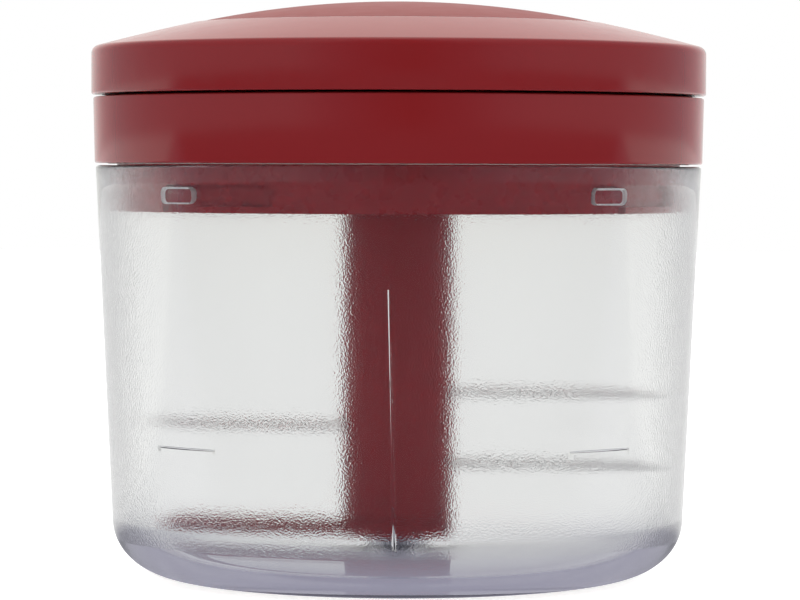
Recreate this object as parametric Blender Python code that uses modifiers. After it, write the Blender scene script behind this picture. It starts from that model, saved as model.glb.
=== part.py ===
"""Hand-pulled food chopper: clear bowl, bladed rotor, lid with a cord drum and a ring pull.

Metres, +Z up, the bowl stands on z = 0 and its axis is the Z axis.
The front of the chopper faces -Y. Closed at rest, ready to be turned to its locked place.
"""
import math

import bmesh
import bpy

# Clearances
fit_gap = 0.0003
cut_overrun = 0.0010
weld_depth = 0.0006
edge_round = 0.0004
merge_distance = 0.000001
seam_distance = 0.00001
sharp_deg = 32.0

# Bowl: thick clear wall that leans outward to the rim
bowl_height = 0.0861
bowl_rim_r = 0.0636
bowl_foot_r = 0.0601
bowl_wall = 0.0036
bowl_floor = 0.0035
bowl_corner_w = 0.0144
bowl_corner_h = 0.0120
bowl_inner_corner_w = 0.0114
bowl_inner_corner_h = 0.0092
bowl_rim_round = 0.0007
boss_r = 0.0062
boss_height = 0.0046

# Lugs on the bowl's wall that hold the lid, and the level marks below them
lug_count = 4
lug_first_deg = -46.3
lug_width = 0.0086
lug_height = 0.0034
lug_round = 0.0008
lug_below_joint = 0.0064
mark_height_share = 0.3415
mark_half_deg = 8.0
mark_r = 0.0004

# Slanted rib on the front of the bowl's inner wall
rib_width = 0.0008
rib_top_width = 0.0004
rib_depth = 0.0006
rib_top_depth = 0.0002
rib_foot_z = 0.0070
rib_top_share = 0.72
rib_foot_shift = -0.0005
rib_top_shift = -0.0019

# Pivot pin in the bowl's boss
pin_r = 0.0030
pin_root_z = 0.0018
pin_above_blades = 0.0085
pin_point = 0.0020

# Lid: lower tier
lid_joint_gap = 0.00045
lid_overhang = 0.0002
lid_flare = 0.0003
lid_ring_height = 0.0138
lid_wall = 0.0023
shell = 0.0022
lid_edge_round = 0.0004
deck_step = 0.00025
deck_step_in = 0.0021

# Lid: hub with its dome, inside the ring pull
hub_draft = 0.0001
hub_gap = 0.0004
dome_rise = 0.0196
dome_sphere_r = 0.2010

# Ring pull
ring_band_width = 0.0213
tier_gap = 0.00055
ring_overhang = 0.0004
ring_side_height = 0.00856
ring_edge_r = 0.0017
ring_slope_deg = 13.7
ring_bulge = 0.00012
tray_thick = 0.0022
ring_screw_count = 4
ring_screw_first_deg = 20.0
pillar_r = 0.0032
pillar_bore_depth = 0.0066

# Lid base with its collar, which reaches into the bowl's mouth
collar_gap = 0.00045
collar_depth = 0.00985
collar_wall = 0.0029
base_floor = 0.0022
flange_thick = 0.0020
seal_height = 0.0022
slot_depth = 0.0015
slot_play = 0.0004
lid_lock_deg = 18.0
well_gap = 0.0009
bush_tube_wall = 0.0018
bush_tube_height = 0.0041
base_screw_count = 4
base_screw_first_deg = 20.0
base_screw_inset = 0.0062
screw_boss_r = 0.0032

# Screws
screw_r = 0.0011
screw_head_r = 0.0023
screw_head_h = 0.0012
screw_length = 0.0080

# Cord
cord_r = 0.0009
cord_pitch = 0.0024
cord_turns = 4
cord_clear = 0.0006
cord_run_start = 0.0104
knot_scale = 0.0017
knot_rise_share = 1.15
knot_start_deg = 12.0
knot_span_deg = 336.0

# Drum with its spring cup, on a fixed axle
axle_r = 0.0025
axle_wall = 0.0022
axle_top_below_dome = 0.0062
drum_core_r_share = 0.4673
drum_core_wall = 0.0018
drum_flange_r_share = 0.5724
drum_flange = 0.0018
cup_r_share = 0.7009
cup_wall = 0.0018
cup_floor = 0.0016
cover_thick = 0.0014
cover_spigot = 0.0010
drum_boss_r = 0.0028
drum_screw_count = 3
drum_screw_circle_r = 0.0105
drum_pocket_roof = 0.0018

# Recoil spring
spring_width = 0.0100
spring_side_gap = 0.0011
spring_thick = 0.0004
spring_turns = 7

# Coupler under the drum and its bush
coupler_flange_r = 0.01405
coupler_flange = 0.0019
bush_wall = 0.00155
bush_lip = 0.0019
bush_lip_width = 0.0015
star_core_r = 0.0052
star_r = 0.0081
star_fin = 0.0026
star_length = 0.0174
star_fin_count = 3
star_first_deg = 60.0
star_end_gap = 0.0015

# Rotor
shaft_r = 0.0113
shaft_wall = 0.0024
shaft_end_gap = 0.0009
shaft_seat_depth = 0.0063
socket_rib_r = 0.0062
sleeve_wall = 0.0021
sleeve_cap = 0.0027
foot_height = 0.0037
foot_spigot = 0.0034
foot_spigot_wall = 0.0029
paddle_thick = 0.0023
paddle_drop = 0.0003
paddle_width = 0.0120
paddle_gap = 0.0045
paddle_turn_deg = 166.0

# Blades
blade_height_shares = (0.447, 0.366, 0.273)
blade_turns_deg = (0.0, 180.0, 0.0)
blade_gap = 0.0028
blade_thick = 0.0010
blade_edge_thick = 0.0002
blade_root_width = 0.0096
blade_width = 0.0150
blade_grind = 0.0045
blade_eye_wall = 0.0027
blade_sweep = 0.0075
blade_opening_share = 0.8
blade_edge_opening_share = 0.83
blade_grind_limit_share = 0.45
blade_tip_start_share = 0.75
blade_tip_narrow_share = 0.72
blade_tip_back_share = 0.12
blade_tip_back_start_share = 0.9

# Cord guide under the deck
guide_groove_r = 0.0030
guide_flange_r = 0.0050
guide_width = 0.0060
guide_groove_half = 0.0016
guide_pin_r = 0.0012
guide_cheek = 0.0025
guide_cheek_half = 0.0035
guide_cheek_below = 0.0027
eyelet_wall = 0.0008
eyelet_bore_gap = 0.0006
eyelet_flange = 0.0012
eyelet_flange_thick = 0.0004
tray_hole_gap = 0.0006

# Counts of facets
steps_large = 48
steps_mid = 28
steps_small = 16
steps_screw = 8
steps_corner = 4
steps_small_curve = 2
steps_ring_curve = 4
steps_dome = 5
steps_mark = 4
steps_knot = 40
steps_cord_turn = 20
steps_guide = 6
steps_spring_turn = 16
steps_paddle = 8
steps_blade = 10
steps_slot = 3
steps_track = 8

# Places worked out from the sizes above


def wall_radius(z):
    rise = (z - bowl_corner_h) / (bowl_height - bowl_corner_h)
    return bowl_foot_r + (bowl_rim_r - bowl_foot_r) * rise


def inner_radius(z):
    return wall_radius(z) - bowl_wall


lid_bottom_z = bowl_height + lid_joint_gap
deck_edge_z = lid_bottom_z + lid_ring_height
deck_z = deck_edge_z + deck_step
deck_under_z = deck_z - shell
ring_bottom_z = deck_edge_z + tier_gap
lid_bottom_r = bowl_rim_r + lid_overhang
lid_top_r = lid_bottom_r + lid_flare
lid_inner_r = lid_bottom_r - lid_wall
ring_r = lid_top_r + ring_overhang
ring_inner_r = ring_r - ring_band_width
hub_r = ring_inner_r - hub_gap
dome_top_z = ring_bottom_z + dome_rise


def dome_z(radius):
    return dome_top_z - (dome_sphere_r - math.sqrt(dome_sphere_r ** 2 - radius ** 2))


hub_edge_z = dome_z(hub_r)
base_bottom_z = lid_bottom_z - collar_depth
base_top_z = base_bottom_z + base_floor
collar_r = min(inner_radius(base_bottom_z), inner_radius(bowl_height)) - collar_gap
collar_inner_r = collar_r - collar_wall
base_screw_circle_r = collar_inner_r - base_screw_inset
seal_z = bowl_height + fit_gap
flange_z = seal_z + seal_height + fit_gap
flange_r = lid_inner_r - fit_gap
lug_z = lid_bottom_z - lug_below_joint
lug_tip_r = collar_r - slot_depth + slot_play
well_r = shaft_r + well_gap
bush_r = coupler_flange_r + fit_gap + bush_wall
bush_z = base_top_z + fit_gap
coupler_z = bush_z + bush_lip + fit_gap
coupler_top_z = coupler_z + coupler_flange
drum_z = coupler_top_z + fit_gap
drum_core_r = hub_r * drum_core_r_share
drum_flange_r = hub_r * drum_flange_r_share
cup_r = hub_r * cup_r_share
drum_flange_z = drum_z + drum_flange
cord_z = drum_flange_z + cord_clear + cord_r
cord_wind_r = drum_core_r + fit_gap + cord_r
core_top_z = cord_z + cord_turns * cord_pitch + cord_r + cord_clear
cup_floor_z = core_top_z + cup_floor
spring_z = cup_floor_z + spring_side_gap
cup_top_z = spring_z + spring_width + spring_side_gap
cover_z = cup_top_z + fit_gap
axle_bore_r = axle_r + fit_gap
axle_hub_r = axle_bore_r + axle_wall
arbor_z = spring_z + fit_gap
axle_top_z = dome_top_z - axle_top_below_dome
star_z = coupler_z - star_length
socket_z = star_z - star_end_gap
shaft_top_z = coupler_z - shaft_end_gap
shaft_bore_r = shaft_r - shaft_wall
blade_heights = [bowl_height * share for share in blade_height_shares]
pin_top_z = max(blade_heights) + pin_above_blades
boss_top_z = bowl_floor + boss_height
foot_z = boss_top_z + fit_gap
foot_top_z = foot_z + foot_height
shaft_z = foot_top_z + fit_gap
pin_bore_r = pin_r + fit_gap
sleeve_r = pin_bore_r + sleeve_wall
sleeve_cap_z = pin_top_z + fit_gap
sleeve_top_z = sleeve_cap_z + sleeve_cap
seat_r = sleeve_r + fit_gap
seat_top_z = sleeve_top_z + fit_gap
seat_z = seat_top_z - shaft_seat_depth
guide_cord_r = guide_groove_r + fit_gap + cord_r
guide_z = cord_z + guide_cord_r
guide_x = cord_wind_r
lead_circle_r = (ring_r + ring_inner_r) / 2.0
lead_y = math.sqrt(lead_circle_r ** 2 - guide_x ** 2)
guide_y = lead_y - guide_cord_r
tray_top_z = ring_bottom_z + tray_thick
screw_bore_r = screw_r + fit_gap
mark_height = bowl_height * mark_height_share
rib_top_z = bowl_height * rib_top_share
paddle_reach = inner_radius(bowl_floor + bowl_inner_corner_h) - paddle_gap
blade_reach = min(inner_radius(height) for height in blade_heights) - blade_gap
blade_eye_r = seat_r
blade_eye_out_r = blade_eye_r + blade_eye_wall

parts = bpy.data.collections.new("food_chopper")
tools = bpy.data.collections.new("shaping_pieces")


def clear_scene():
    for item in list(bpy.data.objects):
        bpy.data.objects.remove(item, do_unlink=True)
    bpy.context.scene.collection.children.link(parts)
    bpy.context.scene.collection.children.link(tools)


def new_object(name, mesh):
    item = bpy.data.objects.new(name, mesh)
    tools.objects.link(item)
    item.hide_render = True
    item.display_type = "WIRE"
    return item


def from_bmesh(name, bm):
    bmesh.ops.recalc_face_normals(bm, faces=bm.faces[:])
    mesh = bpy.data.meshes.new(name)
    bm.to_mesh(mesh)
    bm.free()
    return new_object(name, mesh)


def arc(centre_r, centre_z, radius_r, radius_z, start_deg, end_deg, count):
    points = []
    for i in range(count + 1):
        angle = math.radians(start_deg + (end_deg - start_deg) * i / count)
        points.append((centre_r + radius_r * math.cos(angle), centre_z + radius_z * math.sin(angle)))
    return points


def lathe(name, profile, steps):
    """Turn a profile of (radius, height) points about the Z axis with a Screw."""
    mesh = bpy.data.meshes.new(name)
    count = len(profile)
    edges = [(i, i + 1) for i in range(count - 1)]
    if profile[0][0] > 0.0 or profile[-1][0] > 0.0:
        edges.append((count - 1, 0))
    mesh.from_pydata([(radius, 0.0, height) for radius, height in profile], edges, [])
    item = new_object(name, mesh)
    screw = item.modifiers.new("turn", "SCREW")
    screw.axis = "Z"
    screw.angle = math.tau
    screw.steps = steps
    screw.render_steps = steps
    screw.use_merge_vertices = True
    screw.merge_threshold = seam_distance
    apply_modifiers(item)
    return item


def apply_modifiers(item):
    bpy.context.view_layer.update()
    shown = item.evaluated_get(bpy.context.evaluated_depsgraph_get())
    mesh = bpy.data.meshes.new_from_object(shown)
    old = item.data
    item.modifiers.clear()
    item.data = mesh
    bpy.data.meshes.remove(old)
    bm = bmesh.new()
    bm.from_mesh(mesh)
    bmesh.ops.remove_doubles(bm, verts=bm.verts[:], dist=merge_distance)
    bmesh.ops.recalc_face_normals(bm, faces=bm.faces[:])
    bm.to_mesh(mesh)
    bm.free()


def block(name, size, centre, bevel=0.0, turn_deg=0.0, segments=2):
    """A box with its own size and rounded edges, turned about the Z axis."""
    bm = bmesh.new()
    bmesh.ops.create_cube(bm, size=1.0)
    bmesh.ops.scale(bm, vec=size, verts=bm.verts[:])
    item = from_bmesh(name, bm)
    if bevel > 0.0:
        round_off = item.modifiers.new("round", "BEVEL")
        round_off.width = bevel
        round_off.segments = segments
        apply_modifiers(item)
    angle = math.radians(turn_deg)
    x, y, z = centre
    place = (x * math.cos(angle) - y * math.sin(angle), x * math.sin(angle) + y * math.cos(angle), z)
    item.location = place
    item.rotation_euler = (0.0, 0.0, angle)
    return item


def plate(name, outline, low, thick):
    """A flat piece: an outline of (x, y) points raised to its thickness."""
    bm = bmesh.new()
    face = bm.faces.new([bm.verts.new((x, y, low)) for x, y in outline])
    raised = bmesh.ops.extrude_face_region(bm, geom=[face])
    top = [item for item in raised["geom"] if isinstance(item, bmesh.types.BMVert)]
    bmesh.ops.translate(bm, vec=(0.0, 0.0, thick), verts=top)
    return from_bmesh(name, bm)


def rod(name, radius, low, high, place=(0.0, 0.0), steps=steps_small):
    item = lathe(name, [(0.0, high), (radius, high), (radius, low), (0.0, low)], steps)
    item.location = (place[0], place[1], 0.0)
    return item


def sector(name, inner, outer, low, high, start_deg, end_deg, steps):
    """A piece of a flat ring, spun from one upright face."""
    bm = bmesh.new()
    start = math.radians(start_deg)
    corners = []
    for radius, height in ((inner, low), (outer, low), (outer, high), (inner, high)):
        corners.append(bm.verts.new((radius * math.cos(start), radius * math.sin(start), height)))
    face = bm.faces.new(corners)
    bmesh.ops.spin(bm, geom=bm.verts[:] + bm.edges[:] + [face], axis=(0.0, 0.0, 1.0),
                   cent=(0.0, 0.0, 0.0), dvec=(0.0, 0.0, 0.0),
                   angle=math.radians(end_deg - start_deg), steps=steps, use_duplicate=False)
    return from_bmesh(name, bm)


def tube(name, points, radius, resolution):
    """A round cord along a route of straight pieces, with closed ends."""
    curve = bpy.data.curves.new(name, "CURVE")
    curve.dimensions = "3D"
    curve.bevel_depth = radius
    curve.bevel_resolution = resolution
    curve.use_fill_caps = True
    spline = curve.splines.new("POLY")
    spline.points.add(len(points) - 1)
    for point, place in zip(spline.points, points):
        point.co = (place[0], place[1], place[2], 1.0)
    source = bpy.data.objects.new(name + "_route", curve)
    tools.objects.link(source)
    bpy.context.view_layer.update()
    shown = source.evaluated_get(bpy.context.evaluated_depsgraph_get())
    mesh = bpy.data.meshes.new_from_object(shown)
    bpy.data.objects.remove(source, do_unlink=True)
    bm = bmesh.new()
    bm.from_mesh(mesh)
    bmesh.ops.remove_doubles(bm, verts=bm.verts[:], dist=merge_distance)
    bpy.data.meshes.remove(mesh)
    return from_bmesh(name, bm)


def combine(item, other, operation):
    boolean = item.modifiers.new(other.name, "BOOLEAN")
    boolean.operation = operation
    boolean.solver = "EXACT"
    boolean.object = other
    apply_modifiers(item)
    bpy.data.objects.remove(other, do_unlink=True)


def add(item, other):
    combine(item, other, "UNION")


def cut(item, other):
    combine(item, other, "DIFFERENCE")


def piece(item, name, colour, roughness=0.4, metallic=0.0, clear=0.0, origin=None):
    """Give a finished piece its name, its own material and its place in the part's collection."""
    item.name = name
    item.data.name = name
    if origin is not None:
        item.data.transform(item.matrix_world)
        item.matrix_world.identity()
        item.location = origin
        for vertex in item.data.vertices:
            vertex.co.x -= origin[0]
            vertex.co.y -= origin[1]
            vertex.co.z -= origin[2]
    item.data.polygons.foreach_set("use_smooth", [True] * len(item.data.polygons))
    item.data.set_sharp_from_angle(angle=math.radians(sharp_deg))
    material = bpy.data.materials.new(name)
    material.use_nodes = True
    shader = material.node_tree.nodes["Principled BSDF"]
    shader.inputs["Base Color"].default_value = (*colour, 1.0)
    shader.inputs["Roughness"].default_value = roughness
    shader.inputs["Metallic"].default_value = metallic
    shader.inputs["Transmission Weight"].default_value = clear
    item.data.materials.clear()
    item.data.materials.append(material)
    item.hide_render = False
    item.display_type = "TEXTURED"
    tools.objects.unlink(item)
    parts.objects.link(item)
    return item


def around(count, first_deg, radius):
    places = []
    for i in range(count):
        angle = math.radians(first_deg + 360.0 * i / count)
        places.append((radius * math.cos(angle), radius * math.sin(angle)))
    return places


red = (0.17, 0.010, 0.012)
dark_red = (0.12, 0.008, 0.010)
steel = (0.62, 0.62, 0.63)
pale = (0.80, 0.79, 0.76)
clear_tint = (0.93, 0.94, 0.94)


def make_bowl():
    floor_arc_r = inner_radius(bowl_floor + bowl_inner_corner_h) - bowl_inner_corner_w
    flat_r = bowl_foot_r - bowl_corner_w
    bore_r = pin_r + fit_gap
    bore_z = pin_root_z - fit_gap
    rim_in = inner_radius(bowl_height)
    profile = [(0.0, bore_z), (bore_r, bore_z), (bore_r, boss_top_z)]
    profile += [(boss_r - edge_round, boss_top_z), (boss_r, boss_top_z - edge_round), (boss_r, bowl_floor)]
    profile += arc(floor_arc_r, bowl_floor + bowl_inner_corner_h, bowl_inner_corner_w,
                   bowl_inner_corner_h, -90.0, 0.0, steps_corner)
    profile += arc(rim_in + bowl_rim_round, bowl_height - bowl_rim_round, bowl_rim_round,
                   bowl_rim_round, 180.0, 90.0, steps_small_curve)
    profile += arc(bowl_rim_r - bowl_rim_round, bowl_height - bowl_rim_round, bowl_rim_round,
                   bowl_rim_round, 90.0, 0.0, steps_small_curve)
    profile += arc(flat_r, bowl_corner_h, bowl_corner_w, bowl_corner_h, 0.0, -90.0, steps_corner)
    profile += [(0.0, 0.0)]
    bowl = lathe("bowl", profile, steps_large)
    root_r = inner_radius(lug_z) + weld_depth
    depth = root_r - lug_tip_r
    for i in range(lug_count):
        angle = lug_first_deg + 360.0 * i / lug_count
        centre = (lug_tip_r + depth / 2.0, 0.0, lug_z)
        add(bowl, block("lug", (depth, lug_width, lug_height), centre, lug_round, angle))
        mark = []
        for j in range(steps_mark + 1):
            turn = math.radians(angle + mark_half_deg * (2.0 * j / steps_mark - 1.0))
            reach = inner_radius(mark_height)
            mark.append((reach * math.cos(turn), reach * math.sin(turn), mark_height))
        add(bowl, tube("mark", mark, mark_r, 0))
    add(bowl, make_rib())
    piece(bowl, "bowl", clear_tint, 0.05, 0.0, 1.0)


def make_rib():
    """A thin upright ridge on the inner wall, slightly off the middle and leaning."""
    foot_r = inner_radius(rib_foot_z)
    top_r = inner_radius(rib_top_z)
    sections = (
        (rib_foot_shift, rib_width / 2.0, foot_r, rib_depth, rib_foot_z),
        (rib_top_shift, rib_top_width / 2.0, top_r, rib_top_depth, rib_top_z),
    )
    bm = bmesh.new()
    rows = []
    for shift, half, wall, depth, z in sections:
        outline = ((-half, weld_depth), (half, weld_depth), (half, 0.0), (0.0, -depth), (-half, 0.0))
        rows.append([bm.verts.new((shift + x, -wall - y, z)) for x, y in outline])
    bm.faces.new(rows[0])
    bm.faces.new(rows[1])
    count = len(rows[0])
    for i in range(count):
        j = (i + 1) % count
        bm.faces.new((rows[0][i], rows[0][j], rows[1][j], rows[1][i]))
    return from_bmesh("rib", bm)


def make_pin():
    profile = [(0.0, pin_top_z), (pin_r - pin_point, pin_top_z), (pin_r, pin_top_z - pin_point)]
    profile += [(pin_r, pin_root_z), (0.0, pin_root_z)]
    piece(lathe("pin", profile, steps_small), "pivot_pin", steel, 0.25, 1.0)


def make_seal():
    inner = collar_r + fit_gap
    outer = flange_r
    top = seal_z + seal_height
    profile = [(inner, top), (outer, top), (outer, seal_z + edge_round), (outer - edge_round, seal_z)]
    profile += [(inner, seal_z)]
    piece(lathe("seal", profile, steps_large), "lid_seal", pale, 0.6)


def make_housing():
    hub_inner_r = hub_r - shell
    under = []
    for i in range(steps_dome):
        radius = hub_inner_r + (axle_hub_r - hub_inner_r) * i / (steps_dome - 1)
        under.append((radius, dome_z(radius) - shell))
    profile = []
    for i in range(steps_dome):
        radius = (hub_r - edge_round) * i / (steps_dome - 1)
        profile.append((radius, dome_z(radius)))
    step_r = lid_top_r - deck_step_in
    profile += [(hub_r, hub_edge_z - edge_round), (hub_r + hub_draft, deck_z), (step_r - deck_step, deck_z)]
    profile += [(step_r, deck_edge_z)]
    profile += arc(lid_top_r - lid_edge_round, deck_edge_z - lid_edge_round, lid_edge_round,
                   lid_edge_round, 90.0, 0.0, steps_small_curve)
    profile += arc(lid_bottom_r - edge_round, lid_bottom_z + edge_round, edge_round, edge_round, 0.0, -90.0, 1)
    profile += [(lid_inner_r, lid_bottom_z), (lid_inner_r, deck_under_z)]
    profile += [(hub_inner_r, deck_under_z)]
    profile += under
    profile += [(axle_hub_r, arbor_z), (axle_bore_r, arbor_z), (axle_bore_r, axle_top_z + fit_gap)]
    profile += [(0.0, axle_top_z + fit_gap)]
    housing = lathe("housing", profile, steps_large)
    boss_z = base_top_z + fit_gap
    places = around(base_screw_count, base_screw_first_deg, base_screw_circle_r)
    for place in places:
        add(housing, rod("boss", screw_boss_r, boss_z, deck_under_z + weld_depth, place))
    for place in places:
        bore_top = base_bottom_z + screw_head_h + screw_length + fit_gap
        cut(housing, rod("bore", screw_bore_r, boss_z - cut_overrun, bore_top, place, steps_screw))
    cheek_z = guide_z - guide_cheek_below
    cheek_top = deck_under_z + weld_depth
    cheek_h = cheek_top - cheek_z
    cheek_x = guide_width / 2.0 + fit_gap + guide_cheek / 2.0
    for side in (-1.0, 1.0):
        size = (guide_cheek, guide_cheek_half * 2.0, cheek_h)
        centre = (guide_x + side * cheek_x, guide_y, cheek_z + cheek_h / 2.0)
        add(housing, block("cheek", size, centre))
    length = cheek_x + guide_cheek / 2.0 + cut_overrun
    hole = rod("pin_hole", guide_pin_r + fit_gap, -length, length, (0.0, 0.0), steps_screw)
    hole.rotation_euler = (0.0, math.pi / 2.0, 0.0)
    hole.location = (guide_x, guide_y, guide_z)
    cut(housing, hole)
    eyelet_out = cord_r + eyelet_bore_gap + eyelet_wall
    place = (guide_x, lead_y)
    cut(housing, rod("eyelet_hole", eyelet_out + fit_gap, deck_under_z - cut_overrun, deck_z + cut_overrun, place))
    sink_z = deck_z - eyelet_flange_thick - fit_gap
    cut(housing, rod("eyelet_sink", eyelet_out + eyelet_flange + fit_gap, sink_z, deck_z + cut_overrun, place))
    piece(housing, "lid_housing", red, 0.25)


def make_base():
    tube_in = bush_r + fit_gap
    tube_out = tube_in + bush_tube_wall
    tube_top = base_top_z + bush_tube_height
    top = flange_z + flange_thick
    profile = [(collar_inner_r, top), (flange_r, top), (flange_r, flange_z), (collar_r, flange_z)]
    profile += arc(collar_r - edge_round, base_bottom_z + edge_round, edge_round, edge_round, 0.0, -90.0, 1)
    profile += [(well_r, base_bottom_z), (well_r, base_top_z), (tube_in, base_top_z), (tube_in, tube_top)]
    profile += [(tube_out, tube_top), (tube_out, base_top_z), (collar_inner_r, base_top_z)]
    base = lathe("base", profile, steps_large)
    outer = collar_r + cut_overrun
    inner = collar_r - slot_depth
    half = math.degrees((lug_width / 2.0 + slot_play) / lug_tip_r)
    low = lug_z - lug_height / 2.0 - slot_play
    high = lug_z + lug_height / 2.0 + slot_play
    for i in range(lug_count):
        angle = lug_first_deg + 360.0 * i / lug_count
        low_z = base_bottom_z - cut_overrun
        cut(base, sector("entry", inner, outer, low_z, high, angle - half, angle + half,
                         steps_slot))
        end = angle + half + lid_lock_deg
        cut(base, sector("track", inner, outer, low, high, angle - half, end, steps_track))
    for place in around(base_screw_count, base_screw_first_deg, base_screw_circle_r):
        low_z = base_bottom_z - cut_overrun
        cut(base, rod("hole", screw_bore_r, low_z, base_top_z + cut_overrun, place, steps_screw))
        sink_top = base_bottom_z + screw_head_h + fit_gap
        cut(base, rod("sink", screw_head_r + fit_gap, low_z, sink_top, place, steps_screw))
    piece(base, "lid_base", red, 0.3)


def screw_profile(head_z, length):
    """A pan head at the bottom, with its shank pointing up."""
    seat = head_z + screw_head_h
    tip = seat + length
    outline = [(0.0, tip), (screw_r, tip - screw_r), (screw_r, seat), (screw_head_r, seat)]
    outline += [(screw_head_r, head_z + edge_round), (screw_head_r - edge_round, head_z), (0.0, head_z)]
    return outline


def make_screws(name, places, head_z, length):
    for number, place in enumerate(places, 1):
        item = lathe("screw", screw_profile(head_z, length), steps_screw)
        item.location = (place[0], place[1], 0.0)
        piece(item, name + "_" + str(number), steel, 0.3, 1.0)


def make_ring():
    edge_centre_r = ring_r - ring_edge_r
    edge_centre_z = ring_bottom_z + ring_side_height
    slope = math.radians(ring_slope_deg)
    start_r = edge_centre_r + ring_edge_r * math.sin(slope)
    start_z = edge_centre_z + ring_edge_r * math.cos(slope)
    band = []
    count = steps_dome
    inner_edge_r = ring_inner_r + edge_round
    for i in range(count):
        share = i / (count - 1)
        radius = inner_edge_r + (start_r - inner_edge_r) * share
        height = hub_edge_z + (start_z - hub_edge_z) * share + ring_bulge * 4.0 * share * (1.0 - share)
        band.append((radius, height))
    skirt_in = ring_r - shell
    wall_in = ring_inner_r + shell
    profile = list(band)
    profile += arc(edge_centre_r, edge_centre_z, ring_edge_r, ring_edge_r, 90.0 - ring_slope_deg, 0.0,
                   steps_ring_curve)[1:]
    profile += arc(ring_r - edge_round, ring_bottom_z + edge_round, edge_round, edge_round, 0.0, -90.0, 1)
    profile += [(skirt_in, ring_bottom_z), (skirt_in, edge_centre_z - shell / 2.0)]
    profile += [(edge_centre_r - shell / 2.0, start_z - shell)]
    profile += [(wall_in, hub_edge_z - shell), (wall_in, ring_bottom_z), (ring_inner_r, ring_bottom_z)]
    profile += [(ring_inner_r, hub_edge_z - edge_round)]
    ring = lathe("ring", profile, steps_large)
    middle = (skirt_in + wall_in) / 2.0
    pillar_z = tray_top_z + fit_gap
    roof = (start_z + hub_edge_z) / 2.0 - shell
    places = around(ring_screw_count, ring_screw_first_deg, middle)
    for place in places:
        add(ring, rod("pillar", pillar_r, pillar_z, roof + weld_depth, place))
    for place in places:
        bore_top = pillar_z + pillar_bore_depth
        cut(ring, rod("bore", screw_bore_r, pillar_z - cut_overrun, bore_top, place, steps_screw))
    piece(ring, "ring_top", red, 0.25)
    tray_in = wall_in + fit_gap
    tray_out = skirt_in - fit_gap
    profile = [(tray_in, tray_top_z), (tray_out, tray_top_z), (tray_out, ring_bottom_z), (tray_in, ring_bottom_z)]
    tray = lathe("tray", profile, steps_large)
    for place in places:
        low_z = ring_bottom_z - cut_overrun
        cut(tray, rod("hole", screw_bore_r, low_z, tray_top_z + cut_overrun, place, steps_screw))
        sink_top = ring_bottom_z + screw_head_h + fit_gap
        cut(tray, rod("sink", screw_head_r + fit_gap, low_z, sink_top, place, steps_screw))
    hole_r = cord_r + tray_hole_gap
    cut(tray, rod("cord_hole", hole_r, ring_bottom_z - cut_overrun, tray_top_z + cut_overrun, (guide_x, lead_y)))
    piece(tray, "ring_tray", dark_red, 0.35)
    depth = tray_top_z + fit_gap + pillar_bore_depth - ring_bottom_z - screw_head_h - fit_gap * 2.0
    make_screws("ring_screw", places, ring_bottom_z + fit_gap, depth)


def make_knot():
    """An overhand knot: an open three-lobed loop with both ends left free."""
    rise = knot_scale * knot_rise_share
    centre_z = tray_top_z + fit_gap + cord_r + rise
    points = []
    for i in range(steps_knot + 1):
        t = math.radians(knot_start_deg + knot_span_deg * i / steps_knot)
        x = knot_scale * (math.sin(t) + 2.0 * math.sin(2.0 * t))
        y = knot_scale * (math.cos(t) - 2.0 * math.cos(2.0 * t))
        points.append((guide_x + x, lead_y + y, centre_z - rise * math.sin(3.0 * t)))
    piece(tube("knot", points, cord_r, 1), "cord_knot", pale, 0.7)
    return points


def least_gap(points, radius, apart):
    """Least clear distance of a tube to itself, between points that lie apart along it."""
    best = 1.0
    for i, first in enumerate(points):
        for second in points[i + apart:]:
            best = min(best, math.dist(first, second) - radius * 2.0)
    return best


def make_cord():
    points = []
    for i in range(cord_turns * steps_cord_turn + 1):
        turn = i / steps_cord_turn - cord_turns
        angle = math.tau * turn
        height = cord_z - cord_pitch * turn
        points.append((cord_wind_r * math.cos(angle), cord_wind_r * math.sin(angle), height))
    piece(tube("winding", points, cord_r, 1), "cord_winding", pale, 0.7)
    gap = least_gap(points, cord_r, steps_cord_turn // 2)
    print("cord winding, least gap to itself in mm:", round(gap * 1000.0, 3))
    run = [(guide_x, cord_run_start, cord_z)]
    for i in range(steps_guide + 1):
        angle = math.radians(90.0 * i / steps_guide - 90.0)
        y = guide_y + guide_cord_r * math.cos(angle)
        z = guide_z + guide_cord_r * math.sin(angle)
        run.append((guide_x, y, z))
    lead_z = guide_z + cord_r * 2.0
    run.append((guide_x, lead_y, lead_z))
    piece(tube("run", run, cord_r, 1), "cord_run", pale, 0.7)
    lead = [(guide_x, lead_y, lead_z + fit_gap), (guide_x, lead_y, tray_top_z)]
    piece(tube("lead", lead, cord_r, 1), "cord_lead", pale, 0.7)


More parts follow.
